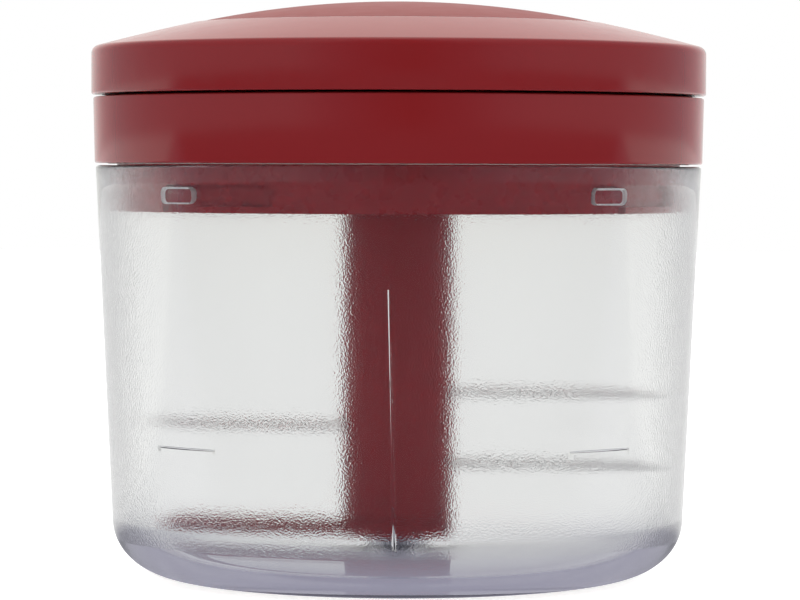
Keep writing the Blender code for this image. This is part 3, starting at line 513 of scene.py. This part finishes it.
def rounded_block(name, rings, low, high, start_deg, end_deg, corner):
    """A piece of a flat ring with four rounded corners, from rings of (radius, inset)."""
    middle = math.radians((start_deg + end_deg) / 2.0)
    base_r = rings[0][0]
    width = math.radians(end_deg - start_deg) * base_r
    height = high - low
    bm = bmesh.new()
    made = []
    for radius, inset in rings:
        half_u = width / 2.0 - corner
        half_v = height / 2.0 - corner
        outline = []
        size = corner - inset
        quarters = ((1.0, 1.0, 0.0), (-1.0, 1.0, 90.0), (-1.0, -1.0, 180.0), (1.0, -1.0, 270.0))
        for side_u, side_v, first in quarters:
            outline += arc(half_u * side_u, half_v * side_v, size, size, first, first + 90.0, 8)
        full = []
        for i, (u, v) in enumerate(outline):
            ahead_u, ahead_v = outline[(i + 1) % len(outline)]
            steps = 16 if i % 9 == 8 and i // 9 in (0, 2) else 1
            for j in range(steps):
                share = j / steps
                full.append((u + (ahead_u - u) * share, v + (ahead_v - v) * share))
        ring = []
        for u, v in full:
            angle = middle + u / base_r
            place = (radius * math.cos(angle), radius * math.sin(angle), (low + high) / 2.0 + v)
            ring.append(bm.verts.new(place))
        made.append(ring)
    total = len(made[0])
    for first, second in zip(made[:-1], made[1:]):
        for j in range(total):
            k = (j + 1) % total
            bm.faces.new((first[j], first[k], second[k], second[j]))
    bm.faces.new(made[0])
    bm.faces.new(made[-1])
    bmesh.ops.triangulate(bm, faces=[face for face in bm.faces if len(face.verts) > 4])
    bmesh.ops.recalc_face_normals(bm, faces=bm.faces[:])
    return mesh_object(name, bm)


def make_bowl():
    floor_arc_r = inner_radius(bowl_floor + bowl_inner_corner_h) - bowl_inner_corner_w
    flat_r = bowl_foot_r - bowl_corner_w
    boss_top_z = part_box("foot_paddle")[0][2] - fit_gap
    bore_r = pin_r + fit_gap
    rim_in = inner_radius(bowl_height)
    profile = [(0.0, pin_root_z - fit_gap), (bore_r, pin_root_z - fit_gap), (bore_r, boss_top_z)]
    profile += arc(boss_r - edge_round, boss_top_z - edge_round, edge_round, edge_round, 90.0, 0.0, 4)
    profile += arc(boss_r + edge_round, bowl_floor + edge_round, edge_round, edge_round, 180.0, 270.0, 4)
    profile += [(boss_r + (floor_arc_r - boss_r) * share, bowl_floor) for share in (0.3, 0.6, 0.85)]
    profile += arc(floor_arc_r, bowl_floor + bowl_inner_corner_h, bowl_inner_corner_w,
                   bowl_inner_corner_h, -90.0, 0.0, 24)
    wall_top = bowl_height - bowl_rim_round
    wall_foot = bowl_floor + bowl_inner_corner_h
    for i in range(1, 24):
        z = wall_foot + (wall_top - wall_foot) * i / 24
        profile.append((inner_radius(z), z))
    profile += arc(rim_in + bowl_rim_round, wall_top, bowl_rim_round, bowl_rim_round, 180.0, 90.0, 6)
    inner_end = len(profile) - 1
    profile += arc(bowl_rim_r - bowl_rim_round, wall_top, bowl_rim_round, bowl_rim_round, 90.0, 0.0, 6)
    for i in range(1, 16):
        z = wall_top + (bowl_corner_h - wall_top) * i / 16
        profile.append((wall_radius(z), z))
    profile += arc(flat_r, bowl_corner_h, bowl_corner_w, bowl_corner_h, 0.0, -90.0, 32)
    profile += [(flat_r * share, 0.0) for share in (0.8, 0.55, 0.3)]
    profile += [(0.0, 0.0)]
    bowl = turned("clear_bowl", profile, steps_shell)
    for material in (clear_outer, clear_frosted, lug_edge_painted_highlight):
        bowl.data.materials.append(material)
    frost_start = next(i for i, (radius, z) in enumerate(profile) if i > 12 and z > frost_foot_z)
    for number, face in enumerate(bowl.data.polygons):
        face.material_index = 1 if frost_start <= number // steps_shell < inner_end else 0
    depth = inner_radius(lug_z) + weld_depth - lug_tip_r
    for i in range(lug_count):
        angle = lug_first_deg + 360.0 * i / lug_count
        half_deg = math.degrees(lug_width / 2.0 / lug_tip_r)
        low_z = lug_z - lug_height / 2.0
        rings = [(lug_tip_r + depth, 0.0)]
        for reach, inset in arc(lug_tip_r + lug_tip_round, 0.0, lug_tip_round, lug_tip_round, 90.0, 180.0, 4):
            rings.append((reach, lug_tip_round - inset))
        sides = (angle - half_deg, angle + half_deg)
        lug = rounded_block("lug", rings, low_z, low_z + lug_height, *sides, lug_round)
        for material in (clear_outer, clear_frosted, lug_edge_painted_highlight):
            lug.data.materials.append(material)
        # The lug's rounded sides take the half-white finish, a painted highlight; its end face stays clear.
        for face in lug.data.polygons:
            across = Vector((math.cos(math.radians(angle)), math.sin(math.radians(angle)), 0.0))
            face.material_index = 0 if abs(face.normal.dot(across)) > 0.9 else 2
        combine(bowl, lug, "UNION")
        mark = []
        for j in range(17):
            turn = math.radians(angle + mark_half_deg * (j / 8.0 - 1.0))
            reach = inner_radius(mark_height) + mark_r * 0.6 * abs(j / 8.0 - 1.0) ** 2
            mark.append((reach * math.cos(turn), reach * math.sin(turn), mark_height))
        combine(bowl, tube("mark", mark, mark_r, 8), "UNION")
    combine(bowl, make_rib(), "UNION")
    smooth(bowl, 40.0)
    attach(bowl, "bowl")
    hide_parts("bowl")
    return bowl


def make_rib():
    foot_r = inner_radius(rib_foot_z)
    top_r = inner_radius(rib_top_z)
    bm = bmesh.new()
    rows = []
    ends = ((rib_foot_shift, rib_width / 2.0, foot_r, rib_depth, rib_foot_z),
            (rib_top_shift, rib_top_width / 2.0, top_r, rib_top_depth, rib_top_z))
    for shift, half, wall, depth, z in ends:
        outline = [(half, weld_depth), (half, 0.0), (0.0, -depth), (-half, 0.0), (-half, weld_depth)]
        rows.append([bm.verts.new((shift + x, -wall - y, z)) for x, y in outline])
    bm.faces.new(rows[0])
    bm.faces.new(rows[1])
    count = len(rows[0])
    for i in range(count):
        j = (i + 1) % count
        bm.faces.new((rows[0][i], rows[0][j], rows[1][j], rows[1][i]))
    bmesh.ops.recalc_face_normals(bm, faces=bm.faces[:])
    return mesh_object("rib", bm)


# The lid: lower tier with its hub, the collar, and the ring pull round the hub


def dome_z(radius):
    return dome_top_z - (dome_sphere_r - math.sqrt(dome_sphere_r ** 2 - radius ** 2))


def rod(name, radius, low, high, place=(0.0, 0.0), steps=48):
    item = turned(name, [(0.0, high), (radius, high), (radius, low), (0.0, low)], steps)
    item.data.transform(Matrix.Translation((place[0], place[1], 0.0)))
    return item


def around(count, first_deg, radius):
    places = []
    for i in range(count):
        angle = math.radians(first_deg + 360.0 * i / count)
        places.append((radius * math.cos(angle), radius * math.sin(angle)))
    return places


hub_edge_z = dome_z(hub_r)
eyelet_low, eyelet_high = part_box("cord_eyelet")
lead_x = (lead_low[0] + lead_high[0]) / 2.0
lead_y = (lead_low[1] + lead_high[1]) / 2.0
axle_top_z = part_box("drum_axle")[1][2]
axle_hub_r = axle_r + fit_gap + axle_wall
arbor_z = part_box("recoil_spring")[0][2] + fit_gap
roller_low, roller_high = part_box("guide_roller")
flange_top_z = base_high[2]
flange_r = base_high[0]


def make_housing():
    hub_inner_r = hub_r - shell
    deck_under_z = deck_z - shell
    step_r = lid_top_r - deck_step_in
    lid_inner_r = lid_bottom_r - lid_wall
    profile = [(0.0, dome_top_z)]
    for i in range(1, 41):
        radius = (hub_r - edge_round) * i / 40
        profile.append((radius, dome_z(radius)))
    profile += arc(hub_r - edge_round, hub_edge_z - edge_round, edge_round, edge_round, 75.0, 0.0, 5)
    profile += [(hub_r + hub_draft, deck_z), (step_r - deck_step, deck_z), (step_r, deck_edge_z)]
    soft = (edge_round, edge_round)
    profile += arc(lid_top_r - edge_round, deck_edge_z - edge_round, *soft, 90.0, 0.0, 8)
    profile += arc(lid_bottom_r - edge_round, lid_bottom_z + edge_round, *soft, 0.0, -90.0, 6)
    profile += [(lid_inner_r, lid_bottom_z), (lid_inner_r, deck_under_z), (hub_inner_r, deck_under_z)]
    for i in range(13):
        radius = hub_inner_r + (axle_hub_r - hub_inner_r) * i / 12
        profile.append((radius, dome_z(radius) - shell))
    profile += [(axle_hub_r, arbor_z), (axle_r + fit_gap, arbor_z), (axle_r + fit_gap, axle_top_z + fit_gap)]
    profile += [(0.0, axle_top_z + fit_gap)]
    housing = turned("lid_upper_shell", profile, steps_shell)
    eyelet_out = (eyelet_high[0] - eyelet_low[0]) / 2.0
    sink_r = eyelet_out + fit_gap
    tube_r = cord_r + eyelet_bore_gap + eyelet_wall + fit_gap
    place = (lead_x, lead_y)
    combine(housing, rod("hole", tube_r, deck_under_z - cut_over, deck_z + cut_over, place), "DIFFERENCE")
    sink_z = deck_z - eyelet_flange_thick - fit_gap
    combine(housing, rod("sink", sink_r, sink_z, deck_z + cut_over, place), "DIFFERENCE")
    roller_x = (roller_low[0] + roller_high[0]) / 2.0
    roller_y = (roller_low[1] + roller_high[1]) / 2.0
    roller_z = (roller_low[2] + roller_high[2]) / 2.0
    cheek_z = roller_z - guide_cheek_below
    cheek_h = deck_under_z + weld_depth - cheek_z
    offset = (roller_high[0] - roller_low[0]) / 2.0 + fit_gap + guide_cheek / 2.0
    for side in (-1.0, 1.0):
        centre = (roller_x + side * offset, roller_y, cheek_z + cheek_h / 2.0)
        size = (guide_cheek, guide_cheek_half * 2.0, cheek_h)
        combine(housing, block("cheek", size, centre, cheek_round), "UNION")
    smooth(housing)
    stands_for(housing, "lid", ["lid_housing"], "red_plastic", red_housing)
    return housing


def make_base():
    base_top_z = base_bottom_z + base_floor
    flange_z = flange_top_z - flange_thick
    collar_inner_r = collar_r - collar_wall
    bush_low, bush_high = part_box("bearing_bush")
    tube_in = bush_high[0] + fit_gap
    tube_out = tube_in + bush_tube_wall
    tube_top = bush_high[2]
    well_r = shaft_r + well_gap
    profile = [(collar_inner_r, flange_top_z), (flange_r, flange_top_z)]
    profile += [(flange_r, flange_z), (collar_r, flange_z)]
    profile += [(collar_r, base_bottom_z + collar_depth * share) for share in (0.75, 0.5, 0.25)]
    profile += arc(collar_r - edge_round, base_bottom_z + edge_round, edge_round, edge_round, 0.0, -90.0, 6)
    profile += [(well_r + edge_round, base_bottom_z), (well_r, base_bottom_z + edge_round)]
    profile += [(well_r, base_top_z), (tube_in, base_top_z), (tube_in, tube_top)]
    profile += [(tube_out, tube_top), (tube_out, base_top_z)]
    profile += [(collar_inner_r, base_top_z)]
    base = turned("lid_collar", profile, steps_shell)
    outer = collar_r + cut_over
    inner = collar_r - slot_depth
    half = math.degrees((lug_width / 2.0 + slot_play) / lug_tip_r)
    low = lug_z - lug_height / 2.0 - slot_play
    high = lug_z + lug_height / 2.0 + slot_play
    for i in range(lug_count):
        angle = lug_first_deg + 360.0 * i / lug_count
        rings = [(inner, 0.0), (outer, 0.0)]
        corner = lug_round + slot_play
        first = angle - half
        last = angle + half
        track = rounded_block("slot", rings, low, high, first, last + lid_lock_deg, corner)
        combine(base, track, "DIFFERENCE")
        entry = rounded_block("slot", rings, base_bottom_z - cut_over * 4.0, high, first, last, corner)
        combine(base, entry, "DIFFERENCE")
    for place in around(base_screw_count, base_screw_first_deg, collar_inner_r - base_screw_inset):
        low_z = base_bottom_z - cut_over
        combine(base, rod("hole", screw_bore_r, low_z, base_top_z + cut_over, place), "DIFFERENCE")
        sink_top = base_bottom_z + screw_head_h + fit_gap
        combine(base, rod("sink", screw_head_r + fit_gap, low_z, sink_top, place), "DIFFERENCE")
    smooth(base)
    stands_for(base, "lid", ["lid_base"], "red_plastic", red_inner_painted_light)
    return base


def make_ring():
    edge_centre_r = ring_r - ring_edge_r
    edge_centre_z = ring_bottom_z + ring_side_height
    slope = math.radians(ring_slope_deg)
    start_r = edge_centre_r + ring_edge_r * math.sin(slope)
    start_z = edge_centre_z + ring_edge_r * math.cos(slope)
    inner_edge_r = ring_inner_r + edge_round
    profile = arc(inner_edge_r, hub_edge_z - edge_round, edge_round, edge_round, 180.0, 105.0, 5)
    for i in range(33):
        share = i / 32
        radius = inner_edge_r + (start_r - inner_edge_r) * share
        height = hub_edge_z + (start_z - hub_edge_z) * share + ring_bulge * 4.0 * share * (1.0 - share)
        profile.append((radius, height))
    profile += arc(edge_centre_r, edge_centre_z, ring_edge_r, ring_edge_r, 90.0 - ring_slope_deg, 0.0, 14)[1:]
    profile += arc(ring_r - edge_round, ring_bottom_z + edge_round, edge_round, edge_round, 0.0, -90.0, 6)
    skirt_in = ring_r - shell
    wall_in = ring_inner_r + shell
    profile += [(skirt_in, ring_bottom_z), (skirt_in, edge_centre_z - shell / 2.0)]
    profile += [(edge_centre_r - shell / 2.0, start_z - shell), (wall_in, hub_edge_z - shell)]
    profile += [(wall_in, ring_bottom_z), (ring_inner_r, ring_bottom_z)]
    ring = turned("ring_pull_shell", profile, steps_shell)
    middle = (skirt_in + wall_in) / 2.0
    tray_top_z = ring_bottom_z + tray_thick
    pillar_z = tray_top_z + fit_gap
    roof = (start_z + hub_edge_z) / 2.0 - shell
    places = around(ring_screw_count, ring_screw_first_deg, middle)
    for place in places:
        combine(ring, rod("pillar", pillar_r, pillar_z, roof + weld_depth, place), "UNION")
        bore = rod("bore", screw_bore_r, pillar_z - cut_over, pillar_z + pillar_bore_depth, place)
        combine(ring, bore, "DIFFERENCE")
    smooth(ring)
    stands_for(ring, "handle", ["ring_top"], "red_plastic", red_gloss)
    tray_in = wall_in + fit_gap
    tray_out = skirt_in - fit_gap
    profile = [(tray_in, tray_top_z), (tray_out, tray_top_z)]
    profile += [(tray_out, ring_bottom_z), (tray_in, ring_bottom_z)]
    tray = turned("ring_pull_tray", profile, steps_shell)
    for place in places:
        low_z = ring_bottom_z - cut_over
        combine(tray, rod("hole", screw_bore_r, low_z, tray_top_z + cut_over, place), "DIFFERENCE")
        sink_top = ring_bottom_z + screw_head_h + fit_gap
        combine(tray, rod("sink", screw_head_r + fit_gap, low_z, sink_top, place), "DIFFERENCE")
    place = (lead_x, lead_y)
    hole = rod("hole", cord_r + tray_hole_gap, ring_bottom_z - cut_over, tray_top_z + cut_over, place)
    combine(tray, hole, "DIFFERENCE")
    smooth(tray)
    stands_for(tray, "handle", ["ring_tray"], "dark_red_plastic", red_satin_painted_light)


def make_seal():
    low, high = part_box("lid_seal")
    outer = high[0]
    inner = collar_r + fit_gap
    lip = edge_round
    profile = [(inner, high[2]), (outer - lip, high[2]), (outer, high[2] - lip)]
    profile += arc(outer - lip, low[2] + lip, lip, lip, 0.0, -90.0, 5) + [(inner, low[2])]
    seal = turned("seal_ring", profile, steps_fine)
    smooth(seal)
    stands_for(seal, "seal", ["lid_seal"], "seal_rubber", seal_rubber)


def make_rotor():
    shaft_low, shaft_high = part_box("blade_shaft")
    sleeve_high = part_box("pivot_sleeve")[1]
    shaft_z = shaft_low[2]
    shaft_top_z = shaft_high[2]
    socket_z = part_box("drive_coupler")[0][2] - star_end_gap
    bore_r = shaft_r - shaft_wall
    seat_r = sleeve_high[0] + fit_gap
    seat_top_z = sleeve_high[2] + fit_gap
    seat_z = seat_top_z - shaft_seat_depth
    profile = [(0.0, socket_z), (bore_r, socket_z), (bore_r, shaft_top_z)]
    profile += arc(shaft_r - edge_round, shaft_top_z - edge_round, edge_round, edge_round, 90.0, 0.0, 5)
    profile += [(shaft_r, shaft_z + (shaft_top_z - shaft_z) * share) for share in (0.8, 0.6, 0.4, 0.2)]
    profile += [(shaft_r, shaft_z), (bore_r, shaft_z), (bore_r, seat_z), (seat_r, seat_z)]
    profile += [(seat_r, seat_top_z), (0.0, seat_top_z)]
    shaft = turned("rotor_shaft", profile, steps_shaft)
    for i in range(star_fin_count):
        length = bore_r + weld_depth - socket_rib_r
        height = shaft_top_z - edge_round - socket_z + weld_depth
        centre = (socket_rib_r + length / 2.0, 0.0, socket_z - weld_depth + height / 2.0)
        rib = block("rib", (length, star_fin, height), centre, 0.0, 360.0 * i / star_fin_count)
        combine(shaft, rib, "UNION")
    heights = []
    for name, turn in (("blade_upper", 0.0), ("blade_middle", 180.0), ("blade_lower", 0.0)):
        low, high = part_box(name)
        height = (low[2] + high[2]) / 2.0
        heights.append((name, height, turn))
        size = (shaft_wall * 2.0, blade_root_width + fit_gap * 2.0, blade_thick + fit_gap * 2.0)
        slot = block("slot", size, (bore_r + shaft_wall / 2.0, 0.0, height), 0.0, turn)
        combine(shaft, slot, "DIFFERENCE")
    smooth(shaft)
    stands_for(shaft, "rotor", ["blade_shaft"], "red_plastic", red_satin_painted_light)
    for name, height, turn in heights:
        make_blade(name, height, turn, seat_r)
    make_paddle(bore_r)


def make_paddle(bore_r):
    low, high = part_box("foot_paddle")
    foot_z = low[2]
    foot_top_z = foot_z + foot_height
    hole = pin_r + fit_gap * 2.0
    spigot = bore_r - fit_gap
    spigot_in = spigot - foot_spigot_wall
    profile = [(spigot_in, high[2]), (spigot, high[2]), (spigot, foot_top_z), (shaft_r, foot_top_z)]
    profile += arc(shaft_r - edge_round, foot_z + edge_round, edge_round, edge_round, 0.0, -90.0, 5)
    profile += [(hole, foot_z), (hole, foot_top_z), (spigot_in, foot_top_z)]
    paddle = turned("rotor_foot", profile, steps_shaft)
    half = paddle_width / 2.0
    start_x = (shaft_r + hole) / 2.0
    outline = [(start_x, half), (start_x, -half)] + arc(paddle_reach - half, 0.0, half, half, -90.0, 90.0, 32)
    bm = bmesh.new()
    top = foot_top_z - paddle_drop
    face = bm.faces.new([bm.verts.new((x, y, top - paddle_thick)) for x, y in outline])
    raised = bmesh.ops.extrude_face_region(bm, geom=[face])
    moved = [item for item in raised["geom"] if isinstance(item, bmesh.types.BMVert)]
    bmesh.ops.translate(bm, vec=(0.0, 0.0, paddle_thick), verts=moved)
    flat = [edge for edge in bm.edges if abs(edge.verts[0].co.z - edge.verts[1].co.z) < 0.00001]
    bmesh.ops.bevel(bm, geom=flat, offset=0.0005, segments=3, affect="EDGES", profile=0.5)
    bmesh.ops.transform(bm, matrix=Matrix.Rotation(math.radians(paddle_turn_deg), 4, "Z"), verts=bm.verts[:])
    bmesh.ops.recalc_face_normals(bm, faces=bm.faces[:])
    combine(paddle, mesh_object("arm", bm), "UNION")
    smooth(paddle)
    stands_for(paddle, "rotor", ["foot_paddle"], "red_plastic", red_satin_painted_light)


def make_blade(name, height, turn_deg, eye_r):
    """A swept blade: sections along its length, thick back, ground front, thin edge."""
    eye_out_r = eye_r + blade_eye_wall
    root = eye_out_r - weld_depth
    reach = blade_reach
    low = height - blade_thick / 2.0
    turn = Matrix.Rotation(math.radians(turn_deg), 4, "Z")
    stations = 48
    rows = []
    bm = bmesh.new()
    for i in range(stations + 1):
        share = i / stations
        x = root + (reach - root) * share
        open_share = min(1.0, max(0.0, (x - shaft_r) / (blade_width * 0.8)))
        width = blade_root_width + (blade_width - blade_root_width) * math.sin(open_share * math.pi / 2.0)
        tip_share = max(0.0, (share - 0.75) / 0.25)
        width *= 1.0 - 0.72 * tip_share * tip_share
        back = -blade_root_width / 2.0 - blade_sweep * share * share + blade_width * 0.12 * tip_share ** 3
        front = back + width
        grind = min(blade_grind, width * 0.45) * open_share
        edge_half = (blade_thick + (blade_edge_thick - blade_thick) * min(1.0, open_share * 1.2)) / 2.0
        section = ((back, low), (front - grind, low), (front, height - edge_half),
                   (front, height + edge_half), (front - grind, low + blade_thick), (back, low + blade_thick))
        rows.append([bm.verts.new(turn @ Vector((x, y, z))) for y, z in section])
    for first, second in zip(rows[:-1], rows[1:]):
        for i in range(6):
            j = (i + 1) % 6
            bm.faces.new((first[i], first[j], second[j], second[i]))
    bm.faces.new(rows[0])
    bm.faces.new(rows[-1])
    bmesh.ops.remove_doubles(bm, verts=bm.verts[:], dist=0.000001)
    bmesh.ops.recalc_face_normals(bm, faces=bm.faces[:])
    blade = mesh_object(name + "_steel", bm)
    high = low + blade_thick
    eye = turned(name + "_steel", [(eye_r, high), (eye_out_r, high), (eye_out_r, low), (eye_r, low)], 64)
    combine(eye, blade, "UNION")
    smooth(eye, 25.0)
    stands_for(eye, "rotor", [name], "blade_steel", blade_metal)


def make_lead():
    """The cord up to the ring: a tube with rings close together."""
    low_z = lead_low[2]
    high_z = lead_high[2]
    count = 60
    points = [(lead_x, lead_y, low_z + (high_z - low_z) * i / count) for i in range(count + 1)]
    lead = tube("pull_cord", points, cord_r, 16)
    smooth(lead, 60.0)
    lead.data.materials.append(cord_braid)
    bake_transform(lead)
    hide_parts("cord_lead")


make_bowl()
make_housing()
make_base()
make_ring()
make_seal()
make_rotor()
make_lead()

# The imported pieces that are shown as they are

screws = ["base_screw_%d" % i for i in (1, 2, 3, 4)]
screws += ["ring_screw_%d" % i for i in (1, 2, 3, 4)]
screws += ["coupler_screw_%d" % i for i in (1, 2, 3)]
pale_pieces = ["bearing_bush", "guide_roller", "cord_drum", "drum_cover", "drive_coupler", "pivot_sleeve"]
steel_pieces = ["pivot_pin", "drum_axle", "recoil_spring", "cord_eyelet", "roller_pin"] + screws
kept = {
    "pale_plastic": (pale_plastic, pale_pieces),
    "steel": (bright_steel, steel_pieces),
    "cord": (cord_braid, ["cord_knot", "cord_run", "cord_winding"]),
}
for slot_name, (material, names) in kept.items():
    for name in names:
        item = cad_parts[name]
        item.data.materials.clear()
        item.data.materials.append(material)

# Floor, light and camera


# Painted shade on the floor in reflections and refractions, by place from front to back: dark in front, grey
# under the bowl where its shadow falls, white behind
floor_painted_shade_tones = ((-0.10, (0.12, 0.12, 0.15)), (-0.055, (0.31, 0.30, 0.39)),
               (0.03, (0.45, 0.45, 0.50)), (0.075, (1.0, 1.0, 1.0)))
floor_tone_span = 0.3


def floor_material():
    """White paper with the object's soft shadow; in reflections and refractions it shows painted shade
    instead, dimmer towards the front and grey under the bowl.
    """
    material, nodes, links, shader = new_material("floor_paint")
    soft = noise(nodes, links, 6.0, 2.0)
    paint = colour_mix(nodes, links, soft, (0.80, 0.80, 0.80), (0.79, 0.79, 0.79))
    links.new(paint, shader.inputs["Base Color"])
    shader.inputs["Roughness"].default_value = 0.7
    shader.inputs["Specular IOR Level"].default_value = 0.0
    where = nodes.new("ShaderNodeNewGeometry")
    apart = nodes.new("ShaderNodeSeparateXYZ")
    links.new(where.outputs["Position"], apart.inputs["Vector"])
    depth = nodes.new("ShaderNodeMapRange")
    depth.inputs["From Min"].default_value = -floor_tone_span / 2.0
    depth.inputs["From Max"].default_value = floor_tone_span / 2.0
    links.new(apart.outputs["Y"], depth.inputs["Value"])
    tone = nodes.new("ShaderNodeValToRGB")
    tone.color_ramp.elements.new(0.5)
    tone.color_ramp.elements.new(0.5)
    for element, (place_y, colour) in zip(tone.color_ramp.elements, floor_painted_shade_tones):
        element.position = place_y / floor_tone_span + 0.5
        element.color = (*colour, 1.0)
    links.new(depth.outputs["Result"], tone.inputs["Fac"])
    # Painted shade: this glow gives the floor its place-by-place tones in reflections and refractions.
    painted_floor_shade = nodes.new("ShaderNodeEmission")
    links.new(tone.outputs["Color"], painted_floor_shade.inputs["Color"])
    bright = nodes.new("ShaderNodeEmission")
    bright.inputs["Strength"].default_value = 0.75
    lit = nodes.new("ShaderNodeAddShader")
    path = nodes.new("ShaderNodeLightPath")
    camera_view = nodes.new("ShaderNodeMixShader")
    other_view = nodes.new("ShaderNodeMixShader")
    either = nodes.new("ShaderNodeMath")
    either.operation = "MAXIMUM"
    links.new(path.outputs["Is Glossy Ray"], either.inputs[0])
    links.new(path.outputs["Is Transmission Ray"], either.inputs[1])
    direct = nodes.new("ShaderNodeMath")
    direct.operation = "LESS_THAN"
    direct.inputs[1].default_value = 0.5
    links.new(path.outputs["Diffuse Depth"], direct.inputs[0])
    sharp_rays = nodes.new("ShaderNodeMath")
    sharp_rays.operation = "MULTIPLY"
    links.new(either.outputs["Value"], sharp_rays.inputs[0])
    links.new(direct.outputs["Value"], sharp_rays.inputs[1])
    links.new(bright.outputs["Emission"], lit.inputs[0])
    links.new(shader.outputs["BSDF"], lit.inputs[1])
    links.new(sharp_rays.outputs["Value"], other_view.inputs["Fac"])
    links.new(shader.outputs["BSDF"], other_view.inputs[1])
    links.new(painted_floor_shade.outputs["Emission"], other_view.inputs[2])
    links.new(path.outputs["Is Camera Ray"], camera_view.inputs["Fac"])
    links.new(other_view.outputs["Shader"], camera_view.inputs[1])
    links.new(lit.outputs["Shader"], camera_view.inputs[2])
    links.new(camera_view.outputs["Shader"], nodes["Material Output"].inputs["Surface"])
    return material


floor_size = 3.0
floor_thick = 0.02
floor_drop = 0.0004
floor_centre = (0.0, 0.0, -floor_drop - floor_thick / 2.0)
floor = block("floor", (floor_size * 2.0, floor_size * 2.0, floor_thick), floor_centre, 0.0)
floor.data.materials.append(floor_material())

world = bpy.data.worlds.new("studio")
bpy.context.scene.world = world
world.use_nodes = True
nodes = world.node_tree.nodes
links = world.node_tree.links
background = nodes["Background"]
path = nodes.new("ShaderNodeLightPath")


def value_node(operation, first, second=None):
    node = nodes.new("ShaderNodeMath")
    node.operation = operation
    for socket, source in zip(node.inputs, (first, second)):
        if source is None:
            continue
        if isinstance(source, (int, float)):
            socket.default_value = source
        else:
            links.new(source, socket)
    return node.outputs["Value"]


# What shines in the plastic: a dim room behind the camera, bright sides and back
where = nodes.new("ShaderNodeTexCoord")
apart = nodes.new("ShaderNodeSeparateXYZ")
links.new(where.outputs["Generated"], apart.inputs["Vector"])
ahead = value_node("MULTIPLY", apart.outputs["Y"], -1.0)
azimuth = value_node("ARCTAN2", apart.outputs["X"], ahead)
turned_deg = value_node("MULTIPLY", azimuth, 180.0 / math.pi)
scale = value_node("ADD", value_node("MULTIPLY", turned_deg, 1.0 / 360.0), 0.5)
ramp = nodes.new("ShaderNodeValToRGB")
links.new(scale, ramp.inputs["Fac"])
stops = ((-180.0, 0.97, 0.97), (-160.0, 0.84, 0.98), (-144.0, 0.58, 1.03), (-130.0, 0.53, 1.06),
         (-105.0, 0.48, 1.1), (-40.0, 0.45, 1.12), (-23.0, 0.20, 1.3), (-7.0, 0.07, 1.3), (6.0, 0.02, 1.2),
         (25.0, 0.15, 1.3), (41.0, 0.35, 1.2), (57.0, 0.45, 1.12), (105.0, 0.46, 1.1), (130.0, 0.52, 1.10),
         (144.0, 0.56, 1.06), (160.0, 0.82, 1.0), (180.0, 0.97, 0.97))
band = ramp.color_ramp
while len(band.elements) < len(stops):
    band.elements.new(0.5)
for element, (degrees, level, blue) in zip(band.elements, stops):
    element.position = degrees / 360.0 + 0.5
    element.color = (level, level, level * blue, 1.0)

# Even light for what is matt, a little stronger from above
overhead = nodes.new("ShaderNodeMapRange")
overhead.inputs["From Min"].default_value = 0.0
overhead.inputs["From Max"].default_value = 1.0
overhead.inputs["To Min"].default_value = 0.80
overhead.inputs["To Max"].default_value = 2.8
rise = value_node("MAXIMUM", apart.outputs["Z"], 0.0)
links.new(value_node("MULTIPLY", rise, rise), overhead.inputs["Value"])
higher = nodes.new("ShaderNodeMapRange")
higher.inputs["From Min"].default_value = 0.08
higher.inputs["From Max"].default_value = 0.45
higher.inputs["To Min"].default_value = 1.0
higher.inputs["To Max"].default_value = 0.8
links.new(apart.outputs["Z"], higher.inputs["Value"])
dimmed = nodes.new("ShaderNodeVectorMath")
dimmed.operation = "SCALE"
links.new(ramp.outputs["Color"], dimmed.inputs["Vector"])
links.new(higher.outputs["Result"], dimmed.inputs["Scale"])
sharp_rays = value_node("MAXIMUM", path.outputs["Is Glossy Ray"], path.outputs["Is Transmission Ray"])
direct = value_node("LESS_THAN", path.outputs["Diffuse Depth"], 0.5)
sharp_rays = value_node("MULTIPLY", sharp_rays, direct)
room = nodes.new("ShaderNodeMix")
room.data_type = "RGBA"
links.new(overhead.outputs["Result"], room.inputs["A"])
links.new(sharp_rays, room.inputs["Factor"])
links.new(dimmed.outputs["Vector"], room.inputs["B"])
paper = nodes.new("ShaderNodeMix")
paper.data_type = "RGBA"
paper.inputs["B"].default_value = (1.0, 1.0, 1.0, 1.0)
links.new(path.outputs["Is Camera Ray"], paper.inputs["Factor"])
links.new(room.outputs["Result"], paper.inputs["A"])
links.new(paper.outputs["Result"], background.inputs["Color"])
background.inputs["Strength"].default_value = 1.0

# The camera, as found from the photograph's perspective
camera_lens = 170.55
camera_pitch_deg = 2.04
camera_roll_deg = 0.17
camera_place = (0.0004, -0.799, 0.0863)
camera_data = bpy.data.cameras.new("camera")
camera = bpy.data.objects.new("camera", camera_data)
bpy.context.scene.collection.objects.link(camera)
bpy.context.scene.camera = camera
camera_data.sensor_width = 36.0
camera_data.lens = camera_lens
camera_data.clip_start = 0.01
camera_data.clip_end = 50.0
pitch = math.radians(camera_pitch_deg)
roll = math.radians(camera_roll_deg)
right = Vector((1.0, 0.0, 0.0))
look = Vector((0.0, math.cos(pitch), -math.sin(pitch)))
up = right.cross(look)
rolled_up = up * math.cos(roll) - right * math.sin(roll)
rolled_right = right * math.cos(roll) + up * math.sin(roll)
place = Matrix((rolled_right, rolled_up, -look)).transposed().to_4x4()
place.translation = Vector(camera_place)
camera.matrix_world = place

scene = bpy.context.scene
scene.view_settings.view_transform = "Standard"
